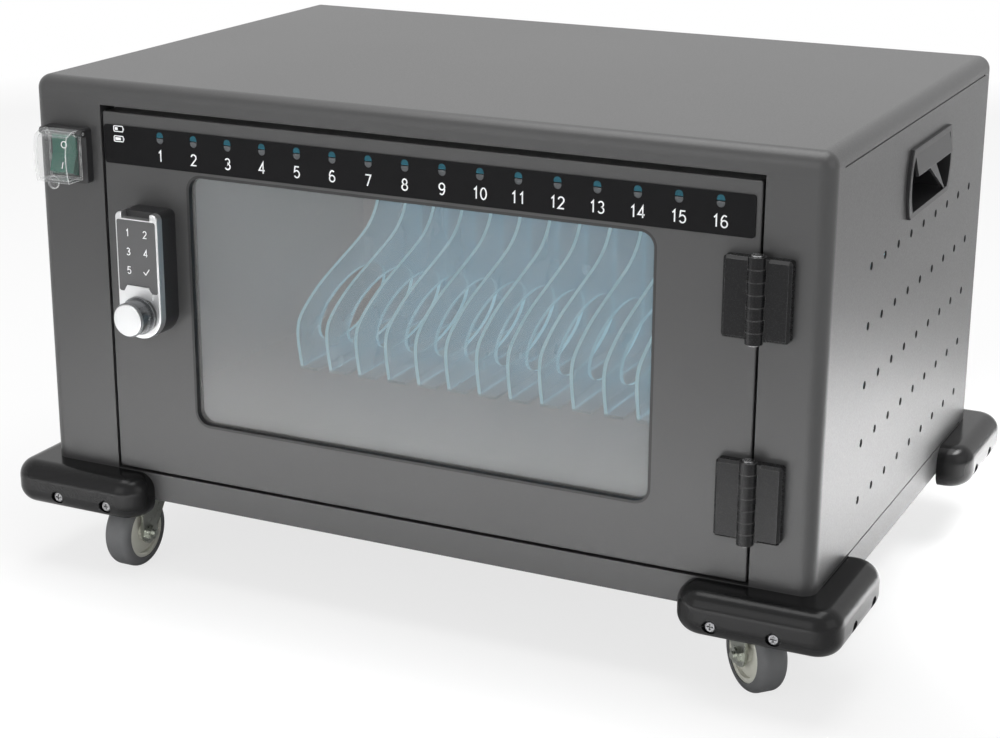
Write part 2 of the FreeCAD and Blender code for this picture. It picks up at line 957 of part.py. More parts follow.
def hinge_leaf(middle_height, side):
    """One leaf of a hinge with its knuckles, on the door or on the stile."""
    low = middle_height - leaf_height / 2
    leaf = block(hinge_x + side * door_gap / 2, hinge_x + side * leaf_width, hinge_y, front,
                 low, low + leaf_height)
    outer_edges = [e for e in edges_along(leaf, AXIS_Y) if abs(e.BoundBox.XMin - hinge_x) > leaf_width / 2]
    leaf = leaf.makeFillet(leaf_corner, outer_edges)
    leaf = leaf.makeChamfer(leaf_bevel, [e for e in edges_at(leaf, AXIS_Y, hinge_y)
                                         if abs(e.CenterOfMass.x - hinge_x) > door_gap])
    barrel_low = middle_height - barrel_height / 2
    below = Vector(hinge_x, hinge_y, barrel_low - overrun)
    above = Vector(hinge_x, hinge_y, barrel_low + barrel_height + overrun)
    clear = rod(knuckle_radius + barrel_clearance, below, above)
    shape = leaf.cut(clear)
    step = barrel_height / knuckle_count
    first = 0 if side > 0 else 1
    reach = knuckle_radius + barrel_clearance + leaf_bevel
    knuckles = []
    for z in knuckle_heights(barrel_low, first):
        base = Vector(hinge_x, hinge_y, z + knuckle_gap / 2)
        height = step - knuckle_gap
        web_low = max(base.z, low)
        web_high = min(base.z + height, low + leaf_height)
        web = block(hinge_x, hinge_x + side * reach, hinge_y, front - barrel_clearance, web_low, web_high)
        knuckles += [rod(knuckle_radius, base, base + AXIS_Z * height), web]
    bore = rod(pin_radius + pin_clearance, below, above)
    return without(joined(shape, *knuckles), bore)


def hinge_pin(middle_height):
    """Pin through a hinge's knuckles, with a bright head at each end."""
    foot = Vector(hinge_x, hinge_y, middle_height - barrel_height / 2)
    crown = foot + AXIS_Z * barrel_height
    lower_head = rod(pin_head_radius, foot, foot - AXIS_Z * pin_head)
    upper_head = rod(pin_head_radius, crown, crown + AXIS_Z * pin_head)
    return joined(rod(pin_radius, foot, crown), lower_head, upper_head)


def rocker_pivot():
    """Middle of the rocker's pivot."""
    return Vector(switch_x, front - bezel_depth + rocker_pivot_depth, switch_z)


def rocker_profile(radius, x):
    """Side outline of the rocker about its pivot, with a shallow valley in front and round ends."""
    pivot = rocker_pivot()
    middle = Vector(x, pivot.y, pivot.z)
    ahead = AXIS_Y * -1
    mid_spread = (rocker_spread + rocker_back_spread) / 2
    upper = around(middle, radius, rocker_spread, ahead, AXIS_Z)
    lower = around(middle, radius, -rocker_spread, ahead, AXIS_Z)
    upper_back = around(middle, radius, rocker_back_spread, ahead, AXIS_Z)
    lower_back = around(middle, radius, -rocker_back_spread, ahead, AXIS_Z)
    return outline(
        upper,
        middle + ahead * rocker_front,
        lower,
        (around(middle, radius, -mid_spread, ahead, AXIS_Z), lower_back),
        upper_back,
        (around(middle, radius, mid_spread, ahead, AXIS_Z), upper),
    )


def switch_rocker():
    """Rocker on two stub pins, resting with its upper end pressed."""
    half = rocker_width / 2
    pivot = rocker_pivot()
    key = prism(rocker_profile(rocker_radius, switch_x - half), AXIS_X * rocker_width)
    run = AXIS_X * (half + rocker_pin_length)
    key = joined(key, rod(rocker_pin_radius, pivot - run, pivot + run))
    return key.rotate(pivot, AXIS_X, -rocker_tilt)


def cover_axis():
    """Middle of the clear cover's hinge."""
    return Vector(switch_x, bezel_front - cover_pin_stand, switch_z + bezel_height / 2 - cover_pin_below_top)


def switch_body():
    """Switch with its bezel, rocker well, terminals and the ears that carry the clear cover."""
    half_width = bezel_width / 2
    half_height = bezel_height / 2
    bezel = plate(switch_x - half_width, switch_x + half_width, switch_z - half_height, switch_z + half_height,
                  bezel_front, front, bezel_corner)
    body = block(switch_x - switch_body_width / 2, switch_x + switch_body_width / 2, front,
                 front + switch_body_depth, switch_z - switch_body_height / 2, switch_z + switch_body_height / 2)
    end = front + switch_body_depth
    terminals = []
    for step in (-1, 0, 1):
        z = switch_z + step * switch_body_height / 4
        terminals.append(block(switch_x - terminal_width / 2, switch_x + terminal_width / 2, end,
                               end + terminal_length, z, z + terminal_thickness))
    axis = cover_axis()
    ears = []
    for side in (-1, 1):
        inner = switch_x + side * (half_width - ear_width)
        outer = switch_x + side * half_width
        ear = block(inner, outer, axis.y, bezel_front, axis.z - barrel_radius, axis.z + barrel_radius)
        nose = rod(barrel_radius, Vector(inner, axis.y, axis.z), Vector(outer, axis.y, axis.z))
        ears += [ear, nose]
    shape = joined(bezel, body, *(terminals + ears))
    pivot = rocker_pivot()
    well_half = rocker_width / 2 + rocker_gap
    well_tall = rocker_radius + rocker_gap
    well_back = pivot.y + rocker_radius * math.sin(math.radians(rocker_back_spread - 90 + 2 * rocker_tilt))
    well = block(switch_x - well_half, switch_x + well_half, bezel_front - overrun, well_back + rocker_floor_gap,
                 switch_z - well_tall, switch_z + well_tall)
    run = AXIS_X * (rocker_width / 2 + rocker_pin_length + rocker_gap)
    pins = rod(rocker_pin_radius + running_clearance, pivot - run, pivot + run)
    across = AXIS_X * (half_width + overrun)
    cover_pin = rod(cover_pin_radius + running_clearance, axis - across, axis + across)
    return without(shape, well, pins, cover_pin)


def cover_profile(inset, x):
    """Side outline of the clear cover, drawn in by a wall, open towards the bezel."""
    axis = cover_axis()
    behind = bezel_front - cover_gap
    ahead = bezel_front - cover_depth + inset
    high = axis.z + barrel_radius - inset
    brow = high - cover_top_drop
    low = axis.z - cover_drop + inset
    middle = (brow + low) / 2
    if inset:
        behind += overrun
    return outline(
        Vector(x, behind, low),
        Vector(x, behind, axis.z - barrel_radius - inset),
        Vector(x, axis.y, high),
        Vector(x, (axis.y + ahead) / 2, high),
        Vector(x, ahead, brow),
        (Vector(x, ahead - cover_bulge, middle), Vector(x, ahead, low)),
    )


def switch_cover():
    """Clear moulded cover over the rocker, with a hinge bar along its top and a lift tab below."""
    axis = cover_axis()
    half = bezel_width / 2 - ear_width - ear_gap
    shell = prism(cover_profile(0, switch_x - half), AXIS_X * (2 * half))
    inside = prism(cover_profile(cover_wall, switch_x - half + cover_wall), AXIS_X * (2 * (half - cover_wall)))
    run = AXIS_X * half
    bar = rod(barrel_radius, axis - run, axis + run)
    reach = AXIS_X * (bezel_width / 2)
    pins = rod(cover_pin_radius, axis - reach, axis + reach)
    low = axis.z - cover_drop
    y = bezel_front - cover_depth
    tab = rod(tab_radius, Vector(switch_x, y, low), Vector(switch_x, y + cover_wall, low))
    return joined(shell.cut(inside), bar, pins, tab)


def handle_cup():
    """Right-hand recessed handle: flange with bowed ends, deep pocket, and a hood and web to lift by."""
    flange = prism(handle_outline(0, right), AXIS_X * handle_flange)
    flange = flange.makeFillet(handle_flange_edge, edges_at(flange, AXIS_X, right + handle_flange))
    cup = prism(handle_outline(handle_border, right - handle_pocket), AXIS_X * handle_pocket)
    inner = handle_border + handle_wall
    pocket = prism(handle_outline(inner, right - handle_pocket + handle_wall), AXIS_X * (handle_pocket + overrun))
    shell = joined(flange, cup).cut(pocket)
    half = handle_length / 2 - inner - handle_bulge
    high = handle_z + handle_tall / 2 - inner
    face = right + handle_flange
    y = handle_behind_middle - half
    hood = prism(outline(
        Vector(face - hood_thickness, y, high + handle_wall),
        Vector(face - handle_flange_edge, y, high + handle_wall),
        Vector(face + hood_stand, y, high - hood_height),
        Vector(face + hood_stand - hood_thickness, y, high - hood_height),
    ), AXIS_Y * (2 * half))
    hood = hood.makeFillet(handle_flange_edge, [e for e in edges_along(hood, AXIS_Y)
                                                if e.BoundBox.ZMax < high - hood_height / 2])
    near, far, tip = [y + 2 * half * share for share in hood_web_shares]
    inside = face - hood_thickness
    web = prism(outline(
        Vector(inside, near, high - hood_height / 2),
        Vector(inside, far, high - hood_height / 2),
        Vector(inside, tip, handle_z - handle_tall / 2 + handle_border),
    ), AXIS_X * hood_thickness)
    return joined(shell, hood, web)


def left_partition():
    """Wall between the wiring space behind the left stile and the device bay."""
    x = partition_right - sheet
    y = front + partition_setback
    end = back - edge_radius
    web = block(x, partition_right, y, end, floor_top, inner_top)
    foot = block(x - partition_flange, partition_right, y, end, floor_top, floor_top + sheet)
    head = block(x - partition_flange, partition_right, y, end, inner_top - sheet, inner_top)
    return joined(web, foot, head)


def rear_partition():
    """Wall behind the dividers, with a foot and a cable slot for each device."""
    high = lid_bottom - rear_wall_drop
    wall = block(partition_right, inner_right, rear_wall_front, rear_wall_back, floor_top, high)
    foot = block(partition_right, inner_right, rear_wall_back, rear_wall_back + partition_flange,
                 floor_top, floor_top + sheet)
    shape = joined(wall, foot)
    slots = []
    z = port_bar_bottom - cable_slot_height
    for x in slot_middles():
        slots.append(stadium(x, z, cable_slot_width, cable_slot_height, rear_wall_front - overrun,
                             rear_wall_back + overrun))
    return without(shape, *slots)


def device_shelf():
    """Shelf with a deep front lip that closes the space below it."""
    y = front + shelf_setback
    deck = block(partition_right, inner_right, y, rear_wall_front, shelf_top - sheet, shelf_top)
    lip = block(partition_right, inner_right, y, y + sheet, floor_top, shelf_top)
    cheeks = []
    for x in (partition_right, inner_right - sheet):
        cheeks.append(block(x, x + sheet, y, rear_wall_front, shelf_top - shelf_flange, shelf_top))
    return joined(deck, lip, *cheeks)


def divider_places():
    """Middles of the dividers across the bay."""
    first = bay_middle - divider_pitch * (divider_count - 1) / 2
    return [first + i * divider_pitch for i in range(divider_count)]


def slot_middles():
    """Middles of the gaps between dividers."""
    places = divider_places()
    return [(a + b) / 2 for a, b in zip(places, places[1:])]


def divider(x):
    """Upright plate with a swept front edge, a hand hole and a cable hole."""
    nose = Vector(x - divider_thickness / 2, divider_front, divider_foot_top)
    sweep = divider_length * divider_sweep_share
    points = [nose + Vector(0, sweep * along, divider_height * up) for along, up in front_edge_shares]
    curve = Part.BSplineCurve()
    curve.interpolate(points)
    crown = Vector(nose.x, divider_back, points[-1].z)
    heel = Vector(nose.x, divider_back, nose.z)
    wire = Part.Wire([curve.toShape(), Part.LineSegment(points[-1], crown).toShape(),
                      Part.LineSegment(crown, heel).toShape(), Part.LineSegment(heel, nose).toShape()])
    run = AXIS_X * divider_thickness

    def beside(shares):
        return nose + Vector(-overrun, divider_length * shares[0], divider_height * shares[1])

    middle = beside(hand_hole_middle_shares)
    long_half = divider_length * hand_hole_long_share
    short_half = divider_height * hand_hole_short_share
    rim = Part.Wire(Part.Ellipse(ORIGIN, long_half, short_half).toShape())
    oval = Part.Face(rim).extrude(AXIS_Z * (divider_thickness + 2 * overrun))
    oval.rotate(ORIGIN, AXIS_Z, hand_hole_tilt)
    oval.Placement = FreeCAD.Placement(middle, FreeCAD.Rotation(AXIS_Y, AXIS_Z, AXIS_X)) * oval.Placement
    reach = AXIS_Z * (cable_hole_tall / 2 - cable_hole_radius)
    slot = slot_form(beside(cable_hole_middle_shares), reach, AXIS_Y * cable_hole_radius,
                     AXIS_X * (divider_thickness + 2 * overrun))
    return without(prism(wire, run), oval, slot)


def divider_foot(x):
    """Strip that a divider stands on."""
    low = x - divider_thickness / 2
    return block(low, low + foot_width, divider_front, divider_back, shelf_top, divider_foot_top)


def charge_port_bar():
    """Bar along the rear wall with one charging socket for each slot."""
    places = slot_middles()
    low = port_bar_bottom
    margin = divider_pitch / 2 + port_bar_margin
    y = rear_wall_front - port_bar_depth
    bar = block(places[0] - margin, places[-1] + margin, y, rear_wall_front, low, low + port_bar_tall)
    middle = low + port_bar_tall / 2
    sockets = []
    tongues = []
    for x in places:
        sockets.append(block(x - port_width / 2, x + port_width / 2, y - overrun, y + port_depth,
                             middle - port_tall / 2, middle + port_tall / 2))
        tongues.append(block(x - tongue_width / 2, x + tongue_width / 2, y + port_depth - tongue_length,
                             y + port_depth, middle - tongue_thickness / 2, middle + tongue_thickness / 2))
    return joined(bar.cut(sockets), *tongues)


def power_supply():
    """Cased power supply on the floor under the shelf, with cooling slots."""
    x = bay_middle - supply_width / 2
    y = -supply_depth / 2
    case = block(x, x + supply_width, y, y + supply_depth, floor_top, floor_top + supply_height)
    case = case.makeFillet(supply_edge, edges_at(case, AXIS_Z, floor_top + supply_height))
    high = floor_top + supply_height
    first = bay_middle - supply_slot_pitch * (supply_slot_count - 1) / 2
    slots = []
    for i in range(supply_slot_count):
        middle = first + i * supply_slot_pitch
        slots.append(block(middle - supply_slot_width / 2, middle + supply_slot_width / 2, -supply_slot_length / 2,
                           supply_slot_length / 2, high - supply_slot_depth, high + overrun))
    return without(case, *slots)


def fan_middle(y):
    """Fan's axis at a depth."""
    return Vector(fan_from_middle, y, fan_z)


def grille():
    """Ring slots of the fan grille, held by four spokes."""
    near = panel_front - overrun
    far = panel_back + overrun
    spokes = []
    for turn in (45, 135):
        spoke = block(-fan_size, fan_size, near, far, -grille_spoke / 2, grille_spoke / 2)
        spoke.rotate(ORIGIN, AXIS_Y, turn)
        spoke.translate(Vector(fan_from_middle, 0, fan_z))
        spokes.append(spoke)
    slots = []
    outer = fan_bore - grille_rib / 2
    for i in range(grille_rings):
        radius = outer - i * (grille_slot + grille_rib)
        ring = rod(radius, fan_middle(near), fan_middle(far))
        core = rod(radius - grille_slot, fan_middle(near), fan_middle(far))
        slots.append(ring.cut([core] + spokes))
    return slots


def inlet_x():
    """Middle of the mains inlet."""
    return left + inlet_from_edge


def back_panel():
    """Screwed back panel with the fan grille, air slots and the inlet's hole."""
    half = right - edge_radius
    panel = block(-half, half, panel_front, panel_back, base_top, lid_bottom + lid_skirt / 3)
    slots = []
    for i in range(slot_count):
        z = slot_middle + (i - (slot_count - 1) / 2) * slot_pitch
        for x in (fan_from_middle, -fan_from_middle):
            reach = AXIS_X * ((slot_length - slot_width) / 2)
            slots.append(slot_form(Vector(x, panel_front - overrun, z), reach, AXIS_Z * (slot_width / 2),
                                   AXIS_Y * (2 * overrun + sheet)))
    x = inlet_x()
    z = bottom + inlet_height
    half_width = inlet_well_width / 2 + inlet_wall
    half_height = inlet_well_height / 2 + inlet_wall
    hole = block(x - half_width, x + half_width, panel_front - overrun, panel_back + overrun,
                 z - half_height, z + half_height)
    drills = []
    for side in (-1, 1):
        for height in back_screw_rows:
            place = Vector(side * (right - back_screw_inset), panel_back, bottom + height)
            drills.append(rod(screw_radius + screw_clearance, place - AXIS_Y * overrun, place + AXIS_Y * overrun))
    return without(panel, *(slots + grille() + [hole] + drills))


def fan_housing():
    """Square fan frame with the motor boss on four arms, against the back panel."""
    half = fan_size / 2
    y = panel_front - fan_depth
    middle = fan_middle(y)
    frame = plate(middle.x - half, middle.x + half, middle.z - half, middle.z + half, y, panel_front, fan_corner)
    frame = frame.cut(rod(fan_bore, middle - AXIS_Y * overrun, fan_middle(panel_front + overrun)))
    inner = panel_front - fan_motor_depth
    boss = rod(fan_hub, fan_middle(inner), fan_middle(panel_front))
    reach = (half + fan_bore) / 2
    arms = []
    for turn in (0, 90):
        arm = block(-reach, reach, inner, panel_front, -fan_arm / 2, fan_arm / 2)
        arm.rotate(ORIGIN, AXIS_Y, turn)
        arm.translate(Vector(middle.x, 0, middle.z))
        arms.append(arm)
    bore = rod(fan_shaft + pin_clearance, fan_middle(inner - overrun), fan_middle(panel_front + overrun))
    return without(joined(frame, boss, *arms), bore)


def fan_rotor():
    """Fan wheel with pitched blades and its shaft."""
    near = panel_front - fan_depth + fan_tip_gap
    far = panel_front - fan_motor_depth - fan_hub_gap
    hub = rod(fan_hub, fan_middle(near), fan_middle(far))
    shaft = rod(fan_shaft, fan_middle(far), fan_middle(panel_front))
    reach = fan_bore - fan_tip_gap
    length = far - near
    middle = (near + far) / 2
    envelope = rod(reach, fan_middle(near), fan_middle(far))
    blades = []
    for i in range(fan_blade_count):
        blade = block(fan_hub / 2, fan_bore, -length, length, -fan_blade_thickness / 2, fan_blade_thickness / 2)
        blade.rotate(ORIGIN, AXIS_X, fan_blade_pitch)
        blade.rotate(ORIGIN, AXIS_Y, i * 360 / fan_blade_count)
        blade.translate(fan_middle(middle))
        blades.append(blade.common(envelope))
    return joined(hub, shaft, *blades)


def mains_inlet():
    """Appliance inlet with three pins in a well, flanged on the back panel."""
    x = inlet_x()
    z = bottom + inlet_height
    flange = plate(x - inlet_flange_width / 2, x + inlet_flange_width / 2, z - inlet_flange_height / 2,
                   z + inlet_flange_height / 2, panel_back, panel_back + inlet_flange_thickness, inlet_corner)
    half_width = inlet_well_width / 2
    half_height = inlet_well_height / 2
    floor = panel_back + inlet_flange_thickness - inlet_well_depth
    box = block(x - half_width - inlet_wall, x + half_width + inlet_wall, floor - inlet_wall, panel_back,
                z - half_height - inlet_wall, z + half_height + inlet_wall)
    well = block(x - half_width, x + half_width, floor, panel_back + inlet_flange_thickness + overrun,
                 z - half_height, z + half_height)
    pins = []
    for step in (-1, 0, 1):
        shift = 0 if step else inlet_pin_offset
        middle_x = x - inlet_pin_offset / 2 + shift
        middle_z = z + step * inlet_pin_pitch
        pins.append(block(middle_x - inlet_pin_height / 2, middle_x + inlet_pin_height / 2,
                          floor, floor + inlet_pin_length,
                          middle_z - inlet_pin_width / 2, middle_z + inlet_pin_width / 2))
    return joined(joined(flange, box).cut(well), *pins)


def bumper_outline(z):
    """Plan of the front-right bumper: two arms round the cabinet's corner, with round ends."""
    corner = Vector(right, front, z)
    reach = bumper_reach
    end = bumper_end
    turn = bumper_corner

    def at(x, y):
        return corner + Vector(x, y, 0)

    def arc(x, y, radius, middle_angle, last_angle):
        middle = at(x, y)
        return tuple(around(middle, radius, angle, AXIS_X, AXIS_Y) for angle in (middle_angle, last_angle))

    return outline(
        at(-bumper_arm, 0),
        at(-bumper_arm, end - reach),
        arc(end - bumper_arm, end - reach, end, 225, 270),
        at(reach - turn, -reach),
        arc(reach - turn, turn - reach, turn, 315, 360),
        at(reach, bumper_arm - end),
        arc(reach - end, bumper_arm - end, end, 45, 90),
        at(0, bumper_arm),
        at(0, edge_radius),
        arc(-edge_radius, edge_radius, edge_radius, 315, 270),
    )


def bumper():
    """Front-right corner bumper, round in section, with sunk holes for its screws."""
    low = bottom - bumper_drop
    high = low + bumper_tall
    form = prism(bumper_outline(low), AXIS_Z * bumper_tall)
    rims = []
    for edge in edges_at(form, AXIS_Z, low) + edges_at(form, AXIS_Z, high):
        middle = edge.valueAt((edge.FirstParameter + edge.LastParameter) / 2)
        if middle.x > right + sheet or middle.y < front - sheet:
            rims.append(edge)
    form = form.makeFillet(bumper_round, rims)
    drills = []
    for place, out in bumper_screw_places_on(1, -1):
        seat = place + out * (bumper_reach - counterbore_depth)
        drills.append(rod(counterbore_radius, seat, seat + out * (counterbore_depth + overrun)))
        drills.append(rod(screw_radius + screw_clearance, place - out * overrun, seat + out * overrun))
    return without(form, *drills)


def flipped(shape):
    """The same shape at the other end of the cabinet, front for back."""
    return shape.mirror(ORIGIN, AXIS_Y)


def cross_recess(face, out):
    """Two crossed bars that cut the driver's recess in a screw's head."""
    across = out.cross(AXIS_Z)
    floor = face - out * recess_depth
    bars = []
    for along, aside in ((AXIS_Z, across), (across, AXIS_Z)):
        reach = along * recess_reach
        half = aside * (recess_width / 2)
        wire = outline(floor - reach - half, floor + reach - half, floor + reach + half, floor - reach + half)
        bars.append(prism(wire, out * (recess_depth + overrun)))
    return bars


def pan_screw(seat, out, grip):
    """Pan-head screw with its head on a seat and its shank running inwards."""
    head = rod(screw_head_radius, seat, seat + out * screw_head)
    rims = [e for e in head.Edges if abs((e.CenterOfMass - seat).dot(out) - screw_head) < screw_edge / 2]
    head = head.makeChamfer(screw_edge, [e for e in rims if e.Curve.TypeId == "Part::GeomCircle"])
    whole = joined(head, rod(screw_radius, seat, seat - out * grip))
    return without(whole, *cross_recess(seat + out * screw_head, out))


def bumper_screws():
    """Screws that hold the four bumpers to the base."""
    seat_depth = bumper_reach - counterbore_depth
    grip = seat_depth + screw_length
    return [pan_screw(place + out * seat_depth, out, grip) for place, out in all_bumper_screws()]


def back_screws():
    """Screws that hold the back panel to the sides' returns."""
    screws = []
    for side in (-1, 1):
        for height in back_screw_rows:
            seat = Vector(side * (right - back_screw_inset), back, bottom + height)
            screws.append(pan_screw(seat, AXIS_Y, screw_length))
    return screws


def caster_top(middle):
    """Fixed top plate of a caster with its race and kingpin."""
    half = plate_size / 2
    low = middle.z - plate_thickness
    top_plate = block(middle.x - half, middle.x + half, middle.y - half, middle.y + half, low, middle.z)
    top_plate = rounded(top_plate, AXIS_Z, plate_corner)
    seat = Vector(middle.x, middle.y, low)
    race = rod(race_radius, seat, seat - AXIS_Z * race_height)
    end = Vector(middle.x, middle.y, fork_bridge_bottom - swivel_gap)
    pin = rod(kingpin_radius, seat, end)
    head = rod(kingpin_head_radius, end, end - AXIS_Z * kingpin_head)
    shape = joined(top_plate, race, pin, head)
    half_bolt = bolt_spacing / 2
    drills = []
    for x in (-half_bolt, half_bolt):
        for y in (-half_bolt, half_bolt):
            hole = seat + Vector(x, y, 0)
            drills.append(rod(bolt_radius + screw_clearance, hole - AXIS_Z * overrun, hole + AXIS_Z * overrun))
    return without(shape, *drills)


def caster_bolts():
    """Hexagon bolts through the casters' plates and the base's floor."""
    bolts = []
    for place in bolt_places():
        seat = place - AXIS_Z * plate_thickness
        head = hex_rod(bolt_across, seat - AXIS_Z * bolt_head, seat)
        bolts.append(joined(head, rod(bolt_radius, seat, place + AXIS_Z * sheet)))
    return bolts


def placed(shape, name):
    """A caster piece drawn with its trail along +X, turned and moved to its corner."""
    middle = caster_places()[name]
    turned = shape.copy()
    turned.rotate(ORIGIN, AXIS_Z, caster_turns[name])
    turned.translate(Vector(middle.x, middle.y, 0))
    return turned


def caster_fork():
    """Pressed fork with a dished head, two tapered legs and a bored bridge."""
    inner = wheel_width / 2 + fork_gap
    outer = inner + fork_sheet
    axle = Vector(trail, 0, wheel_radius)
    legs = []
    for side in (-1, 1):
        y = side * inner
        leg = prism(outline(
            Vector(-fork_back, y, fork_bridge_top),
            Vector(fork_front, y, fork_bridge_top),
            Vector(axle.x + fork_foot, y, axle.z),
            (Vector(axle.x, y, axle.z - fork_foot), Vector(axle.x - fork_foot, y, axle.z)),
        ), AXIS_Y * (side * fork_sheet))
        legs.append(leg)
    bridge = block(-fork_back, fork_front, -outer, outer, fork_bridge_bottom, fork_bridge_top)
    bridge = rounded(bridge, AXIS_Z, fork_corner / 2)
    dish = rod(dish_radius, Vector(0, 0, fork_bridge_top), Vector(0, 0, fork_top))
    dish = dish.makeFillet(dish_edge, edges_at(dish, AXIS_Z, fork_top))
    hole = rod(kingpin_radius + running_clearance, Vector(0, 0, fork_bridge_bottom - overrun),
               Vector(0, 0, fork_top + overrun))
    across = AXIS_Y * (outer + overrun)
    axle_hole = rod(axle_radius, axle - across, axle + across)
    return without(joined(bridge, dish, *legs), hole, axle_hole)


def caster_axle(nut_side):
    """Axle bolt with a hexagon head and nut outside the fork's legs."""
    outer = wheel_width / 2 + fork_gap + fork_sheet
    axle = Vector(trail, 0, wheel_radius)
    out = AXIS_Y * nut_side
    near = axle - out * outer
    far = axle + out * outer
    head = hex_rod(axle_across, near - out * axle_head, near)
    nut = hex_rod(axle_across, far, far + out * axle_head)
    return joined(head, nut, rod(axle_radius, near, far + out * (axle_head + axle_end)))


def wheel_turn(points):
    """Solid turned about the axle from half-section points of (distance along the axle, radius)."""
    axle = Vector(trail, 0, wheel_radius)
    wire = Part.makePolygon([axle + Vector(0, along, radius) for along, radius in points + points[:1]])
    return Part.Face(wire).revolve(axle, AXIS_Y, 360)


def wheel_tyre():
    """Grey tyre with a rounded tread."""
    half = wheel_width / 2
    tyre = wheel_turn([(-half, hub_radius), (half, hub_radius), (half, wheel_radius), (-half, wheel_radius)])
    rims = [e for e in tyre.Edges if e.Curve.TypeId == "Part::GeomCircle" and e.Curve.Radius > hub_radius + sheet]
    return only_solid(tyre.makeFillet(tread_round, rims))


def wheel_hub():
    """Pale hub, dished between its rim and its boss, bored for the axle."""
    half = hub_width / 2
    bore = axle_radius + running_clearance
    dished = half - hub_dish
    rim = hub_radius - hub_rim
    return wheel_turn([
        (-half, bore), (-half, hub_boss), (-dished, hub_boss), (-dished, rim), (-half, rim), (-half, hub_radius),
        (half, hub_radius), (half, rim), (dished, rim), (dished, hub_boss), (half, hub_boss), (half, bore),
    ])


def write_cabinet():
    """Fixed sheet metal, trim and inner pieces."""
    save("top_cover", top_cover())
    save("left_side_panel", side_panel(-1))
    save("right_side_panel", side_panel(1))
    save("base_pan", base_pan())
    save("back_panel", back_panel())
    save("door_stop_frame", door_stop_frame())
    save("door_gasket", door_gasket())
    save("left_partition", left_partition())
    save("rear_partition", rear_partition())
    save("device_shelf", device_shelf())
    save("dividers", *[divider(x) for x in divider_places()])
    save("divider_feet", *[divider_foot(x) for x in divider_places()])
    save("charge_port_bar", charge_port_bar())
    save("power_supply", power_supply())
    save("mains_inlet", mains_inlet())
    save("fan_housing", fan_housing())
    save("fan_rotor", fan_rotor())
    save("side_handles", handle_cup(), mirrored(handle_cup()))


def write_door():
    """Door with its window, indicator strip, lock and hinges."""
    save("door_panel", door_panel())
    save("window_pane", window_pane())
    save("window_seal", window_seal())
    save("indicator_strip", indicator_strip())
    save("charging_lenses", *lenses(1))
    save("ready_lenses", *lenses(-1))
    save("indicator_board", indicator_board())
    save("lock_housing", lock_housing())
    save("lock_face", lock_face())
    save("keypad_panel", keypad_panel())
    save("lock_nut", lock_nut())
    save("lock_knob", lock_knob())
    save("knob_cap", knob_cap())
    save("lock_spindle", lock_spindle())
    save("latch_cam", latch_cam())
    save("hinge_frame_leaves", *[hinge_leaf(height, 1) for height in hinge_heights])
    save("hinge_door_leaves", *[hinge_leaf(height, -1) for height in hinge_heights])
    save("hinge_pins", *[hinge_pin(height) for height in hinge_heights])


def write_switch():
    """Mains switch with its rocker and clear cover."""
    save("switch_body", switch_body())
    save("switch_rocker", switch_rocker())
    save("switch_cover", switch_cover())


def write_running_gear():
    """Corner bumpers and swivel casters."""
    corner = bumper()
    save("bumper_front_right", corner)
    save("bumper_front_left", mirrored(corner))
    save("bumper_rear_right", flipped(corner))
    save("bumper_rear_left", flipped(mirrored(corner)))
    save("pan_screws", *(bumper_screws() + back_screws()))
    save("caster_tops", *[caster_top(middle) for middle in caster_places().values()])
    save("caster_bolts", *caster_bolts())
    for name in caster_turns:
        axle = caster_axle(axle_nut_sides[name])
        save("caster_fork_" + name, placed(caster_fork(), name), placed(axle, name))
        save("caster_tyre_" + name, placed(wheel_tyre(), name))
        save("caster_hub_" + name, placed(wheel_hub(), name))


os.makedirs("parts", exist_ok=True)
write_cabinet()
write_door()
write_switch()
write_running_gear()
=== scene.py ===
import math
from typing import NamedTuple

import bmesh
import bpy
from mathutils import Matrix, Vector


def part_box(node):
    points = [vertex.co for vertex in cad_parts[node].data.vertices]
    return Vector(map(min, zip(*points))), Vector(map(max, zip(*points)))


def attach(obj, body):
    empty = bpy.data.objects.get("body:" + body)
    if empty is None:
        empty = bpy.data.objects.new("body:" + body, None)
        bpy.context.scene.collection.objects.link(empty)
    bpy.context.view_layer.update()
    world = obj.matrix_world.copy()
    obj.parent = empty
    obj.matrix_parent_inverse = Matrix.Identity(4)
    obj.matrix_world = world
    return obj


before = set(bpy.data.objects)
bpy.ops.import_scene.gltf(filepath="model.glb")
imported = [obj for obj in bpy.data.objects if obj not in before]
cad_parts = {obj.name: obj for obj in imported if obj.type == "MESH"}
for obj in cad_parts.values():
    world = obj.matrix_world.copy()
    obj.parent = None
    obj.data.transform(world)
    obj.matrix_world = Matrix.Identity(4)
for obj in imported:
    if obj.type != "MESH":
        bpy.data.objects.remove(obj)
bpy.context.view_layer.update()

bl_info = {
    "name": "Charging Cabinet Dressing",
    "version": (1, 0, 0),
    "blender": (4, 5, 0),
    "location": "View3D > Sidebar > Cabinet",
    "description": "Finishes, printed marks, light and camera for a device charging cabinet on casters",
    "category": "Object",
}

CORNERS = ("front_left", "front_right", "rear_left", "rear_right")
MILLIMETRE = 0.001
UP = Vector((0, 0, 1))
FACING_FRONT = Matrix.Rotation(math.radians(90), 4, "X")
WHITE = (1, 1, 1)

# Lights along the strip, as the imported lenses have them, and the keypad's printed numerals.
LIGHT_COUNT = 16
LIGHT_WIDTH = 6 * MILLIMETRE
KEY_COUNT = 5
KEY_COLUMNS = 2

# Noise scales in cycles for each metre, and the value about which noise swings.
PATCH_SCALE = 5.0
VEIL_SCALE = 14.0
WEAR_SCALE = 160.0
DUST_SCALE = 420.0
NOISE_MIDDLE = 0.5

# Sockets of the Mix node that take and give colours.
MIX_SHARE = 0
MIX_FIRST = 6
MIX_SECOND = 7
MIX_RESULT = 2

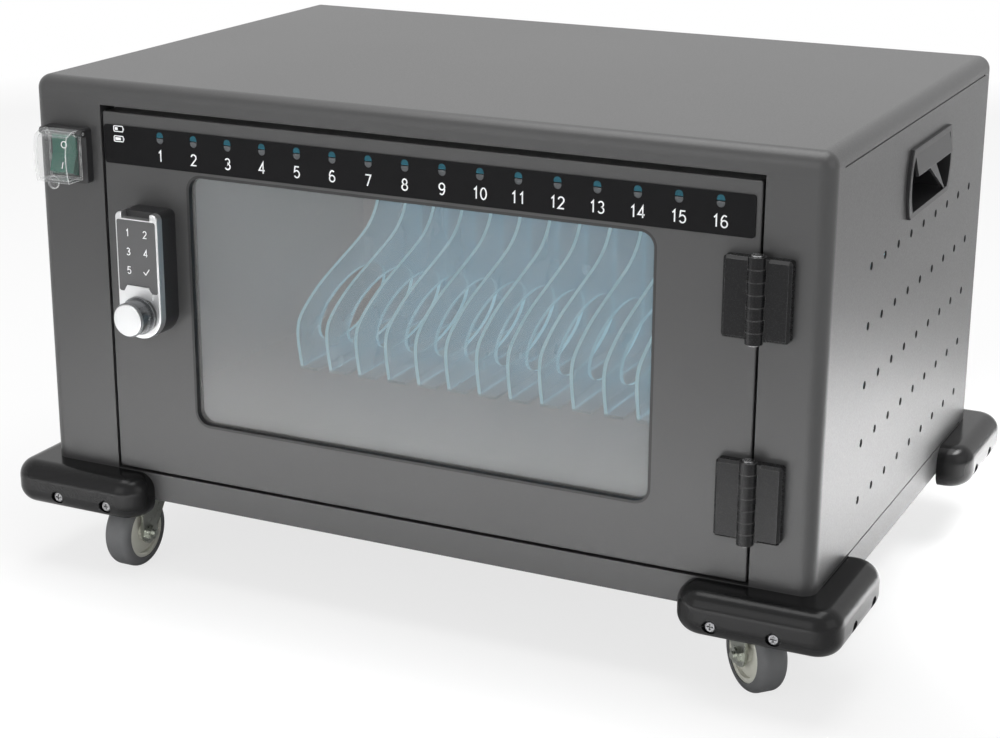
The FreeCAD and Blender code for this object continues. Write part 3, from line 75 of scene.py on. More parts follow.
NONE_TO_ALL = (0.0, 1.0)
ALL_TO_NONE = (1.0, 0.0)

# Drawn digits: a loop's first and last angle in degrees, and the pitch for each unit of height.
LOOP = (0, 350)
DIGIT_PITCH = 0.74

# Least cosine that widens a drawn line at a corner, so that sharp corners stay short.
SHARPEST_CORNER = 0.3


class Lamp(NamedTuple):
    """Soft lamp: its place and aim, its two sides, its spread in degrees and its power in watts."""

    name: str
    place: tuple
    aim: tuple
    sides: tuple
    spread: float
    power: float


LAMPS = (
    Lamp("overhead_box", place=(0.0, 0.0, 2.2), aim=(0, 0, 0.2), sides=(1.8, 1.8), spread=180, power=38),
    Lamp("right_box", place=(2.0, -0.5, 0.9), aim=(0.2, 0, 0.2), sides=(1.4, 1.4), spread=180, power=5),
    Lamp("front_box", place=(-0.5, -2.2, 0.9), aim=(0, 0, 0.2), sides=(1.5, 1.5), spread=180, power=9),
    Lamp("front_floor_wash", place=(-0.12, -0.55, 0.35), aim=(-0.12, -0.55, 0), sides=(1.0, 0.25), spread=70,
         power=3.8),
    Lamp("right_floor_wash", place=(0.56, 0.28, 0.40), aim=(0.56, 0.28, 0), sides=(0.25, 0.55), spread=70,
         power=3.2),
)


def colour_property(name, description, default):
    """Colour that a user can change."""
    return bpy.props.FloatVectorProperty(name=name, description=description, default=default,
                                         subtype="COLOR", size=3, min=0, max=1)


def length_property(name, description, default):
    """Length that a user can change, in metres."""
    return bpy.props.FloatProperty(name=name, description=description, default=default,
                                   subtype="DISTANCE", unit="LENGTH", min=0)


def share_property(name, description, default):
    """Share between none and all that a user can change."""
    return bpy.props.FloatProperty(name=name, description=description, default=default,
                                   subtype="FACTOR", min=0, max=1)


def angle_property(name, description, degrees):
    """Angle that a user can change."""
    return bpy.props.FloatProperty(name=name, description=description, default=math.radians(degrees),
                                   subtype="ANGLE", unit="ROTATION")


class CabinetFinishes(bpy.types.PropertyGroup):
    """Colours and gloss of the cabinet's finishes."""

    coat: colour_property("Powder coat", "Anthracite coat of the cabinet and door", (0.040, 0.040, 0.0405))
    coat_roughness: share_property("Coat roughness", "Roughness of the powder coat", 0.38)
    coat_grain: length_property("Coat grain", "Size of the orange peel in the powder coat", 0.0011)
    inner_coat: colour_property("Inner coat", "Grey coat of the shelf and inner walls", (0.32, 0.32, 0.32))
    rubber: colour_property("Rubber", "Moulded corner bumpers and window channel", (0.007, 0.007, 0.0073))
    foam: colour_property("Foam", "Strip that the door closes on", (0.02, 0.02, 0.02))
    plastic: colour_property("Black plastic", "Handles, switch body, fan and sockets", (0.013, 0.013, 0.014))
    strip: colour_property("Indicator strip", "Black strip on the door", (0.004, 0.004, 0.0045))
    pane: colour_property("Window pane", "Grey haze of the clear pane", (0.27, 0.27, 0.268))
    pane_alpha: share_property("Pane haze", "How much of the pane shows in front of the devices", 0.42)
    divider: colour_property("Dividers", "Pale blue of the dividers' faces", (0.24, 0.66, 0.82))
    # The dividers' edges and faces give out a painted glow in the two colours below, so the sheets look lit,
    # though they are no lamp.
    divider_edge: colour_property("Divider edges", "Bright cut edges of the dividers", (0.38, 0.78, 0.90))
    divider_gleam: colour_property("Divider gleam", "Light that the faces give out", (0.04, 0.20, 0.26))
    divider_glow: share_property("Divider glow", "Strength of the light that the sheets give out", 0.62)
    divider_alpha: share_property("Divider face", "How much of a divider's face shows", 0.40)
    divider_foot: colour_property("Divider feet", "Strips that the dividers stand on", (0.18, 0.42, 0.51))
    cover: colour_property("Switch cover", "Clear moulded cover", (0.45, 0.46, 0.46))
    rocker: colour_property("Rocker", "Green key of the mains switch", (0.002, 0.082, 0.054))
    charging_light: colour_property("Charging lights", "Upper halves of the lights", (0.008, 0.075, 0.105))
    ready_light: colour_property("Ready lights", "Lower halves of the lights", (0.075, 0.080, 0.085))
    board: colour_property("Circuit board", "Board behind the lights", (0.012, 0.11, 0.045))
    silver: colour_property("Satin silver", "Lock face, knob cap and hinge pins", (0.58, 0.585, 0.59))
    knob: colour_property("Knob skirt", "Dark skirt of the lock's knob", (0.16, 0.165, 0.17))
    keypad: colour_property("Keypad", "Dark grey touch panel", (0.070, 0.070, 0.072))
    zinc: colour_property("Zinc", "Plated caster forks and lock pieces", (0.56, 0.58, 0.53))
    screw: colour_property("Screws", "Dull steel of the screws", (0.20, 0.20, 0.205))
    hinge: colour_property("Hinge black", "Satin black hinge leaves", (0.007, 0.007, 0.0075))
    tyre: colour_property("Tyre", "Grey caster tyres", (0.100, 0.102, 0.105))
    hub: colour_property("Hub", "Cream caster hubs", (0.62, 0.62, 0.55))
    supply: colour_property("Power supply", "Plain sheet case", (0.55, 0.56, 0.57))
    ink: colour_property("Print", "White numerals and marks", (0.80, 0.81, 0.82))
    # Pale metal on edges: partly rubbed bare, partly a painted highlight.
    rubbed_metal: colour_property("Rubbed metal", "Bare edges of metal pieces", (0.92, 0.92, 0.92))
    dust: colour_property("Dust", "Thin dust on what faces up", (0.5, 0.49, 0.47))


class CabinetMarks(bpy.types.PropertyGroup):
    """Sizes of the printed numerals and marks."""

    number_size: length_property("Strip numerals", "Height of the numerals on the strip", 0.0082)
    number_stroke: length_property("Numeral stroke", "Width of the numerals' lines on the strip", 0.0010)
    number_drop: length_property("Numeral drop", "From the lights' middles down to the numerals", 0.0140)
    key_size: length_property("Key numerals", "Height of the keypad's numerals", 0.0054)
    battery_width: length_property("Battery mark", "Width of the battery outlines on the strip", 0.0085)
    rocker_mark: length_property("Rocker marks", "Half height of the rocker's marks", 0.0025)
    stroke: length_property("Stroke", "Width of the other drawn lines", 0.0007)
    print_depth: length_property("Print depth", "How far the printed marks stand proud", 0.00012)


class CabinetStage(bpy.types.PropertyGroup):
    """Camera, floor and even light."""

    camera_place: bpy.props.FloatVectorProperty(name="Camera", description="Where the camera stands", size=3,
                                                default=(0.7191, -1.5390, 0.7021), subtype="TRANSLATION")
    azimuth: angle_property("Azimuth", "Turn round the object from its front", 25.65)
    elevation: angle_property("Elevation", "Camera's tilt down", 17.95)
    roll: angle_property("Roll", "Camera's roll", 0.28)
    lens: bpy.props.FloatProperty(name="Lens", description="Focal length in millimetres",
                                  default=76.51, min=1)
    sensor: bpy.props.FloatProperty(name="Sensor", description="Sensor width in millimetres",
                                    default=36.0, min=1)
    floor_half: length_property("Floor", "Half width of the pale floor", 6.0)
    floor_colour: colour_property("Floor colour", "Pale studio floor", (0.90, 0.90, 0.90))
    fade_from: length_property("Fade from", "Where the floor starts to fade into the white", 1.0)
    fade_to: length_property("Fade to", "Where the floor is all white", 2.4)
    floor_white: share_property("Floor white", "How far the floor's shadow is lifted to white", 0.75)
    fill: share_property("Fill", "Strength of the studio's even light", 0.45)


def finishes():
    """The scene's finishes."""
    return bpy.context.scene.cabinet_finishes


def marks():
    """The scene's printed marks."""
    return bpy.context.scene.cabinet_marks


def opaque(colour):
    """Colour with full alpha, as node sockets take it."""
    return (*colour, 1)


def grey(level):
    """Colour without a tint."""
    return (level, level, level)


class NodeDesk:
    """Places and links nodes in one node tree."""

    def __init__(self, tree):
        self.tree = tree

    def add(self, kind, **settings):
        """New node with its settings."""
        node = self.tree.nodes.new(kind)
        for name, value in settings.items():
            setattr(node, name, value)
        return node

    def feed(self, node, inputs):
        """Outputs of a node, once inputs have been linked or set by name or number."""
        for key, value in inputs.items():
            socket = node.inputs[key]
            if isinstance(value, bpy.types.NodeSocket):
                self.tree.links.new(value, socket)
            else:
                socket.default_value = value
        return node.outputs

    def effect(self, name, inputs):
        """Outputs of one of the shared effects, placed in a material."""
        return self.feed(self.add("ShaderNodeGroup", node_tree=bpy.data.node_groups[name]), inputs)

    def maths(self, operation, first, second=0.0, clamp=False):
        """Result of one Math node."""
        node = self.add("ShaderNodeMath", operation=operation, use_clamp=clamp)
        return self.feed(node, {0: first, 1: second})[0]

    def vector_maths(self, operation, *vectors):
        """Outputs of one Vector Math node."""
        return self.feed(self.add("ShaderNodeVectorMath", operation=operation), dict(enumerate(vectors)))

    def blend(self, share, first, second, kind="MIX"):
        """Result of mixing two colours."""
        node = self.add("ShaderNodeMix", data_type="RGBA", blend_type=kind)
        return self.feed(node, {MIX_SHARE: share, MIX_FIRST: first, MIX_SECOND: second})[MIX_RESULT]

    def spread(self, value, span, onto):
        """Value moved from one range to another, held at the ends."""
        low, high = span
        to_low, to_high = onto
        return self.feed(self.add("ShaderNodeMapRange"), {
            "Value": value, "From Min": low, "From Max": high, "To Min": to_low, "To Max": to_high})[0]

    def place(self):
        """Place on the surface, in the cabinet's own space."""
        return self.add("ShaderNodeTexCoord").outputs["Object"]

    def normal(self):
        """Direction that the surface faces."""
        return self.add("ShaderNodeNewGeometry").outputs["Normal"]

    def facing(self, axis):
        """How far the surface faces along an axis."""
        return self.feed(self.add("ShaderNodeSeparateXYZ"), {"Vector": self.normal()})[axis]

    def noise(self, scale, detail, place=None):
        """Noise at a place, or in the cabinet's own space."""
        if place is None:
            place = self.place()
        node = self.add("ShaderNodeTexNoise")
        return self.feed(node, {"Vector": place, "Scale": scale, "Detail": detail})["Fac"]

    def swing(self, noise, amount):
        """Noise about zero, by an amount."""
        return self.maths("MULTIPLY", self.maths("SUBTRACT", noise, NOISE_MIDDLE), amount)


def new_group(name, takes, gives):
    """Desk, input sockets and output node of a new shader node group."""
    tree = bpy.data.node_groups.new(name, "ShaderNodeTree")
    for way, sockets in (("INPUT", takes), ("OUTPUT", gives)):
        for label, kind in sockets.items():
            tree.interface.new_socket(name=label, in_out=way, socket_type="NodeSocket" + kind)
    return NodeDesk(tree), tree.nodes.new("NodeGroupInput").outputs, tree.nodes.new("NodeGroupOutput")


def build_surface_grain():
    """Group for a surface that varies in colour and gloss over large patches and has a fine grain."""
    desk, given, out = new_group(
        "surface_grain",
        {"Colour": "Color", "Roughness": "Float", "Grain": "Float", "Variation": "Float"},
        {"Colour": "Color", "Roughness": "Float", "Height": "Float"})
    grain_detail = 2.0
    patch_detail = 4.0
    grain_gloss = 0.16
    patch_gloss = 0.35
    fine = desk.noise(desk.maths("DIVIDE", 1.0, given["Grain"]), grain_detail)
    change = desk.swing(desk.noise(PATCH_SCALE, patch_detail), given["Variation"])
    lift = desk.maths("ADD", 1.0, change)
    tint = desk.feed(desk.add("ShaderNodeCombineColor"), {"Red": lift, "Green": lift, "Blue": lift})[0]
    gloss = desk.maths("ADD", desk.swing(fine, grain_gloss), desk.maths("MULTIPLY", change, patch_gloss))
    desk.feed(out, {
        "Colour": desk.blend(1.0, given["Colour"], tint, "MULTIPLY"),
        "Roughness": desk.maths("ADD", given["Roughness"], gloss, clamp=True),
        "Height": fine,
    })


def build_edge_wear():
    """Group that gives edges a second colour: partly wear, where a finish rubs thin, and partly a painted
    highlight, where edges catch light.
    """
    desk, given, out = new_group(
        "worn_and_highlit_edges",
        {"Colour": "Color", "Edge Colour": "Color", "Width": "Float", "Amount": "Float"},
        {"Colour": "Color", "Edge": "Float"})
    bevel_samples = 4
    wear_detail = 4.0
    noise_span = (0.35, 0.75)
    wear_span = (0.4, 1.0)
    bend_span = (0.02, 0.22)
    soft = desk.feed(desk.add("ShaderNodeBevel", samples=bevel_samples), {"Radius": given["Width"]})[0]
    alike = desk.vector_maths("DOT_PRODUCT", desk.normal(), soft)["Value"]
    bend = desk.maths("SUBTRACT", 1.0, alike, clamp=True)
    broken = desk.spread(desk.noise(WEAR_SCALE, wear_detail), noise_span, wear_span)
    edge = desk.maths("MULTIPLY", desk.spread(bend, bend_span, NONE_TO_ALL), broken)
    share = desk.maths("MULTIPLY", edge, given["Amount"], clamp=True)
    desk.feed(out, {"Colour": desk.blend(share, given["Colour"], given["Edge Colour"]), "Edge": share})


def build_dust_veil():
    """Group that lays a thin pale dust on what faces up."""
    desk, given, out = new_group(
        "dust_veil",
        {"Colour": "Color", "Dust": "Color", "Amount": "Float"},
        {"Colour": "Color"})
    speck_detail = 5.0
    upward_span = (0.3, 1.0)
    lying_span = (0.15, 1.0)
    noise_span = (0.42, 0.72)
    speck_span = (0.3, 1.0)
    lies = desk.spread(desk.facing("Z"), upward_span, lying_span)
    specks = desk.spread(desk.noise(DUST_SCALE, speck_detail), noise_span, speck_span)
    share = desk.maths("MULTIPLY", desk.maths("MULTIPLY", lies, specks), given["Amount"], clamp=True)
    desk.feed(out, {"Colour": desk.blend(share, given["Colour"], given["Dust"])})


def build_drawn_lines():
    """Group for metal brushed or drawn in one direction."""
    desk, given, out = new_group(
        "drawn_lines",
        {"Stretch": "Vector", "Roughness": "Float"},
        {"Roughness": "Float", "Height": "Float"})
    line_detail = 3.0
    line_gloss = 0.30
    stretched = desk.vector_maths("MULTIPLY", desk.place(), given["Stretch"])[0]
    lines = desk.noise(1.0, line_detail, stretched)
    desk.feed(out, {
        "Roughness": desk.maths("ADD", given["Roughness"], desk.swing(lines, line_gloss), clamp=True),
        "Height": lines,
    })


def build_cut_sheet():
    """Group for a clear sheet across the X axis whose sawn edges are brighter and denser than its faces, with
    a painted glow that is strongest at the edges.
    """
    desk, given, out = new_group(
        "cut_sheet",
        {"Face": "Color", "Edge": "Color", "Gleam": "Color", "Face Alpha": "Float", "Edge Alpha": "Float"},
        {"Colour": "Color", "Glow": "Color", "Alpha": "Float", "Roughness": "Float"})
    veil_detail = 3.0
    across_span = (0.5, 0.9)
    noise_span = (0.3, 0.7)
    veil_span = (0.9, 1.1)
    roughness_span = (0.16, 0.45)
    edge = desk.spread(desk.maths("ABSOLUTE", desk.facing("X")), across_span, ALL_TO_NONE)
    veil = desk.spread(desk.noise(VEIL_SCALE, veil_detail), noise_span, veil_span)
    face_alpha = desk.maths("MULTIPLY", given["Face Alpha"], veil)
    gap = desk.maths("SUBTRACT", given["Edge Alpha"], face_alpha)
    desk.feed(out, {
        "Colour": desk.blend(edge, given["Face"], given["Edge"]),
        "Glow": desk.blend(edge, given["Gleam"], given["Edge"]),
        "Alpha": desk.maths("ADD", face_alpha, desk.maths("MULTIPLY", edge, gap), clamp=True),
        "Roughness": desk.spread(edge, NONE_TO_ALL, roughness_span),
    })


def build_groups():
    """All the shared effects, once."""
    build_surface_grain()
    build_edge_wear()
    build_dust_veil()
    build_drawn_lines()
    build_cut_sheet()


def new_material(name):
    """Material with a Principled shader, and the desk for its other nodes."""
    material = bpy.data.materials.new(name)
    material.use_nodes = True
    return material, NodeDesk(material.node_tree), material.node_tree.nodes["Principled BSDF"]


def add_relief(desk, shader, height, strength, distance):
    """Relief on a shader from a height."""
    bump = desk.add("ShaderNodeBump")
    normal = desk.feed(bump, {"Strength": strength, "Distance": distance, "Height": height})[0]
    desk.feed(shader, {"Normal": normal})


def grained_finish(name, colour, *, roughness, grain, relief, edge_colour, edge_share=0.35, width=0.0008, dust=0.0,
                   variation=0.12, specular=0.5):
    """Painted, rubber or moulded finish with a fine grain, a little dust, and edges that are partly rubbed
    and partly a painted highlight.
    """
    material, desk, shader = new_material(name)
    surface = desk.effect("surface_grain", {
        "Colour": opaque(colour), "Roughness": roughness, "Grain": grain, "Variation": variation})
    tint = desk.effect("worn_and_highlit_edges", {
        "Colour": surface["Colour"], "Edge Colour": opaque(edge_colour), "Width": width, "Amount": edge_share})["Colour"]
    if dust:
        tint = desk.effect("dust_veil", {
            "Colour": tint, "Dust": opaque(finishes().dust), "Amount": dust})["Colour"]
    desk.feed(shader, {"Base Color": tint, "Roughness": surface["Roughness"], "Specular IOR Level": specular})
    add_relief(desk, shader, surface["Height"], relief, grain)
    return material


def metal_finish(name, colour, *, roughness, stretch, relief=0.08):
    """Bare or plated metal with drawn lines, by their cycles for each metre along each axis, and pale edges
    that are partly rubbed bare and partly a painted highlight.
    """
    patch_grain = 0.004
    patch_variation = 0.18
    rub_and_highlight_width = 0.0005
    rub_and_highlight_amount = 0.4
    line_height = 0.0004
    material, desk, shader = new_material(name)
    lines = desk.effect("drawn_lines", {"Stretch": stretch, "Roughness": roughness})
    surface = desk.effect("surface_grain", {
        "Colour": opaque(colour), "Roughness": roughness, "Grain": patch_grain, "Variation": patch_variation})
    rubbed_and_highlit = desk.effect("worn_and_highlit_edges", {
        "Colour": surface["Colour"], "Edge Colour": opaque(finishes().rubbed_metal), "Width": rub_and_highlight_width,
        "Amount": rub_and_highlight_amount})
    desk.feed(shader, {"Base Color": rubbed_and_highlit["Colour"], "Metallic": 1.0, "Roughness": lines["Roughness"]})
    add_relief(desk, shader, lines["Height"], relief, line_height)
    return material


def clear_pane_finish():
    """Clear flat pane with a grey haze that varies a little over large patches."""
    look = finishes()
    roughness = 0.05
    patch_grain = 0.08
    variation = 0.1
    material, desk, shader = new_material("clear_pane_sheet")
    surface = desk.effect("surface_grain", {
        "Colour": opaque(look.pane), "Roughness": roughness, "Grain": patch_grain, "Variation": variation})
    desk.feed(shader, {"Base Color": surface["Colour"], "Roughness": roughness, "Alpha": look.pane_alpha})
    return material


def clear_moulding_finish():
    """Clear moulded cover with white edges painted as a highlight, and a grey that shows more at grazing
    angles as a painted reflection.
    """
    rim_blend = 0.35
    rim_span = (0.15, 1.0)
    body_alpha = (0.05, 0.42)
    white_highlight_width = 0.0016
    edge_alpha = 0.9
    material, desk, shader = new_material("clear_cover_moulding")
    # Painted reflection: the cover's grey shows more where it is seen edge-on.
    rim = desk.feed(desk.add("ShaderNodeLayerWeight"), {"Blend": rim_blend})["Facing"]
    # Painted highlight: white along the cover's edges.
    edge = desk.effect("worn_and_highlit_edges", {
        "Colour": opaque(finishes().cover), "Edge Colour": opaque(WHITE), "Width": white_highlight_width, "Amount": 1.0})
    body = desk.spread(rim, rim_span, body_alpha)
    alpha = desk.maths("ADD", body, desk.maths("MULTIPLY", edge["Edge"], edge_alpha), clamp=True)
    desk.feed(shader, {"Base Color": edge["Colour"], "Alpha": alpha, "Roughness": 0.08})
    return material


def divider_finish():
    """Pale blue translucent sheet with bright sawn edges, which gives out a painted glow."""
    look = finishes()
    edge_alpha = 0.95
    material, desk, shader = new_material("pale_blue_sheet")
    sheet = desk.effect("cut_sheet", {
        "Face": opaque(look.divider), "Edge": opaque(look.divider_edge), "Gleam": opaque(look.divider_gleam),
        "Face Alpha": look.divider_alpha, "Edge Alpha": edge_alpha})
    desk.feed(shader, {
        "Base Color": sheet["Colour"], "Alpha": sheet["Alpha"], "Roughness": sheet["Roughness"],
        "Emission Color": sheet["Glow"], "Emission Strength": look.divider_glow})
    return material


def print_finish():
    """White print with a slight grain, made once."""
    name = "white_print"
    known = bpy.data.materials.get(name)
    if known:
        return known
    return grained_finish(name, finishes().ink, roughness=0.5, grain=0.0006, relief=0.05,
                          edge_colour=grey(0.6), edge_share=0.1)


def paint(material, *nodes):
    """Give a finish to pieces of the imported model."""
    for name in nodes:
        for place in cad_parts[name].material_slots:
            place.material = material


def each_corner(stem):
    """Names of a piece at the four corners."""
    return [stem + corner for corner in CORNERS]


def new_piece(name, parts, body):
    """Printed piece from meshes and their placements, riding on a body."""
    mesh = merged_mesh(name, parts)
    mesh.materials.append(print_finish())
    piece = bpy.data.objects.new(name, mesh)
    bpy.context.collection.objects.link(piece)
    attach(piece, body)


def merged_mesh(name, parts):
    """One mesh from meshes and their placements. The meshes are used up."""
    whole = bmesh.new()
    for mesh, placement in parts:
        mesh.transform(placement)
        whole.from_mesh(mesh)
        bpy.data.meshes.remove(mesh)
    merged = bpy.data.meshes.new(name)
    whole.to_mesh(merged)
    whole.free()
    return merged


def drawn_line(points, width, depth, closed=False):
    """Flat ribbon of one width along points in the plane, standing proud of it by a depth on each face."""
    shape = bmesh.new()
    count = len(points)
    lift = UP * depth
    rims = []
    for i, point in enumerate(points):
        before = points[i - 1] if closed or i else point
        after = points[(i + 1) % count] if closed or i + 1 < count else point
        into = (point - before).normalized() if point != before else (after - point).normalized()
        away = (after - point).normalized() if after != point else into
        middle = (into + away).normalized()
        half = width / 2 / max(middle.dot(into), SHARPEST_CORNER)
        side = Vector((-middle.y, middle.x, 0)) * half
        corners = (-side - lift, side - lift, side + lift, lift - side)
        rims.append([shape.verts.new(point + corner) for corner in corners])
    for i in range(count if closed else count - 1):
        near = rims[i]
        far = rims[(i + 1) % count]
        for k in range(len(near)):
            after = (k + 1) % len(near)
            shape.faces.new((near[k], near[after], far[after], far[k]))
    if not closed:
        shape.faces.new(rims[0][::-1])
        shape.faces.new(rims[-1])
    bmesh.ops.recalc_face_normals(shape, faces=shape.faces)
    mesh = bpy.data.meshes.new("line")
    shape.to_mesh(mesh)
    shape.free()
    return mesh


def ring_points(radius, count=40):
    """Points round a circle in the plane."""
    turns = (2 * math.pi * i / count for i in range(count))
    return [Vector((math.cos(turn), math.sin(turn), 0)) * radius for turn in turns]


def round_rectangle(width, height, corner, steps=6):
    """Points round a rectangle with round corners in the plane."""
    points = []
    for quarter, (sx, sy) in enumerate(((1, 1), (-1, 1), (-1, -1), (1, -1))):
        middle = Vector((sx * (width / 2 - corner), sy * (height / 2 - corner), 0))
        for i in range(steps + 1):
            turn = math.pi / 2 * (quarter + i / steps)
            points.append(middle + Vector((math.cos(turn), math.sin(turn), 0)) * corner)
    return points


def bow(x, y, across, tall, start, stop, count=18):
    """Points along part of an oval, by its middle, half sizes and angles in degrees."""
    turns = (math.radians(start + (stop - start) * i / count) for i in range(count + 1))
    return [(x + across * math.cos(turn), y + tall * math.sin(turn)) for turn in turns]


def digit_strokes(digit):
    """Strokes of a digit of height one about its middle, each with whether it closes."""
    top = 0.5
    foot = -0.5
    half = 0.27
    six = [(bow(0, -0.21, half, 0.29, *LOOP), True), (bow(0.02, -0.05, 0.29, 0.55, 55, 175), False)]
    strokes = {
        "0": [(bow(0, 0, half, top, *LOOP), True)],
        "1": [([(-0.16, 0.28), (0.04, top), (0.04, foot)], False)],
        "2": [(bow(0, 0.23, 0.26, 0.27, 170, -35) + [(-half, foot), (0.28, foot)], False)],
        "3": [(bow(0, 0.26, 0.23, 0.24, 155, -90) + bow(0, -0.24, half, 0.26, 90, -155), False)],
        "4": [([(0.13, foot), (0.13, top), (-0.29, -0.22), (0.30, -0.22)], False)],
        "5": [([(0.24, top), (-0.17, top), (-0.23, 0.03)] + bow(0, -0.18, half, 0.32, 130, -150), False)],
        "6": six,
        "7": [([(-half, top), (half, top), (-0.09, foot)], False)],
        "8": [(bow(0, 0.26, 0.22, 0.24, *LOOP), True), (bow(0, -0.24, half, 0.26, *LOOP), True)],
        "9": [([(-x, -y) for x, y in points], closed) for points, closed in six],
    }
    return strokes[digit]


def number_parts(number, height, stroke, depth, placement):
    """Meshes and placements of a number in drawn strokes, centred on a placement."""
    digits = str(number)
    parts = []
    for i, digit in enumerate(digits):
        aside = DIGIT_PITCH * height * (i - (len(digits) - 1) / 2)
        for points, closed in digit_strokes(digit):
            line = [Vector((aside + x * height, y * height, 0)) for x, y in points]
            parts.append((drawn_line(line, stroke, depth, closed), placement))
    return parts


def on_front(x, y, z):
    """Placement of a flat mark so that it faces the front."""
    return Matrix.Translation((x, y, z)) @ FACING_FRONT


class CabinetSheetMetal(bpy.types.Operator):
    """Powder coat on the cabinet's sheets and on the inner walls"""

    bl_idname = "cabinet.sheet_metal"
    bl_label = "Sheet metal"

    def execute(self, context):
        look = finishes()
        coat = grained_finish("anthracite_coat", look.coat, roughness=look.coat_roughness,
                              grain=look.coat_grain, relief=0.10, edge_colour=grey(0.10), edge_share=0.15, width=0.0006,
                              dust=0.015, variation=0.10)
        paint(coat, "top_cover", "left_side_panel", "right_side_panel", "base_pan", "back_panel",
              "door_panel")
        inner = grained_finish("inner_grey_coat", look.inner_coat, roughness=0.45, grain=look.coat_grain,
                               relief=0.10, edge_colour=grey(0.5), edge_share=0.3)
        paint(inner, "door_stop_frame", "left_partition", "rear_partition", "device_shelf")
        return {"FINISHED"}


class CabinetRubber(bpy.types.Operator):
    """Moulded bumpers, the window's channel and the door's foam strip"""

    bl_idname = "cabinet.rubber"
    bl_label = "Rubber"

    def execute(self, context):
        look = finishes()
        moulded = grained_finish("moulded_rubber", look.rubber, roughness=0.20, grain=0.0016, relief=0.04,
                                 edge_colour=grey(0.03), edge_share=0.3, dust=0.004, specular=0.20)
        paint(moulded, *each_corner("bumper_"))
        channel = grained_finish("window_channel", look.rubber, roughness=0.5, grain=0.0012, relief=0.08,
                                 edge_colour=grey(0.05), edge_share=0.2)
        paint(channel, "window_seal")
        foam = grained_finish("foam_strip", look.foam, roughness=0.95, grain=0.0009, relief=0.6,
                              edge_colour=grey(0.05), edge_share=0.1)
        paint(foam, "door_gasket")
        return {"FINISHED"}


class CabinetPlastics(bpy.types.Operator):
    """Black moulded handles, sockets, fan and switch body"""

    bl_idname = "cabinet.plastics"
    bl_label = "Moulded plastics"

    def execute(self, context):
        satin = grained_finish("satin_black_plastic", finishes().plastic, roughness=0.42, grain=0.0007,
                               relief=0.12, edge_colour=grey(0.07), edge_share=0.4, dust=0.01)
        paint(satin, "side_handles", "charge_port_bar", "mains_inlet", "fan_housing", "fan_rotor",
              "switch_body")
        return {"FINISHED"}


class CabinetWindow(bpy.types.Operator):
    """Clear pane of the door and the pale dividers behind it, with their feet"""

    bl_idname = "cabinet.window"
    bl_label = "Window and dividers"

    def execute(self, context):
        paint(clear_pane_finish(), "window_pane")
        paint(divider_finish(), "dividers")
        feet = grained_finish("pale_blue_feet", finishes().divider_foot, roughness=0.4, grain=0.0012,
                              relief=0.05, edge_colour=(0.5, 0.6, 0.65), edge_share=0.3)
        paint(feet, "divider_feet")
        return {"FINISHED"}


class CabinetFittings(bpy.types.Operator):
    """Hinges, screws and the power supply's case"""

    bl_idname = "cabinet.fittings"
    bl_label = "Metal fittings"

    def execute(self, context):
        look = finishes()
        # The hinge leaves' strong pale edges are a painted highlight on the satin black.
        hinge = grained_finish("satin_black_hinge", look.hinge, roughness=0.26, grain=0.0006, relief=0.02,
                               edge_colour=grey(0.22), edge_share=0.8, specular=0.2)
        paint(hinge, "hinge_frame_leaves", "hinge_door_leaves")
        even = (900, 900, 900)
        lengthways = (40, 900, 900)
        screws = metal_finish("dull_steel_screws", look.screw, roughness=0.42, stretch=even)
        paint(screws, "pan_screws")
        pins = metal_finish("bright_hinge_pins", look.silver, roughness=0.26, stretch=even)
        paint(pins, "hinge_pins")
        case = metal_finish("plain_sheet_case", look.supply, roughness=0.38, stretch=lengthways)
        paint(case, "power_supply")
        return {"FINISHED"}


class CabinetCasters(bpy.types.Operator):
    """Plated forks, grey tyres and cream hubs, and the lock's plated pieces"""

    bl_idname = "cabinet.casters"
    bl_label = "Casters"

    def execute(self, context):
        look = finishes()
        plate = metal_finish("zinc_plate", look.zinc, roughness=0.30, stretch=(260, 260, 260))
        paint(plate, "caster_tops", "caster_bolts", *each_corner("caster_fork_"))
        paint(plate, "lock_nut", "lock_spindle", "latch_cam")
        tyre = grained_finish("grey_tyre", look.tyre, roughness=0.6, grain=0.0012, relief=0.12,
                              edge_colour=grey(0.2), edge_share=0.35, dust=0.05)
        paint(tyre, *each_corner("caster_tyre_"))
        hub = grained_finish("cream_hub", look.hub, roughness=0.45, grain=0.0014, relief=0.08,
                             edge_colour=(0.7, 0.68, 0.6), edge_share=0.2, dust=0.03)
        paint(hub, *each_corner("caster_hub_"))
        return {"FINISHED"}


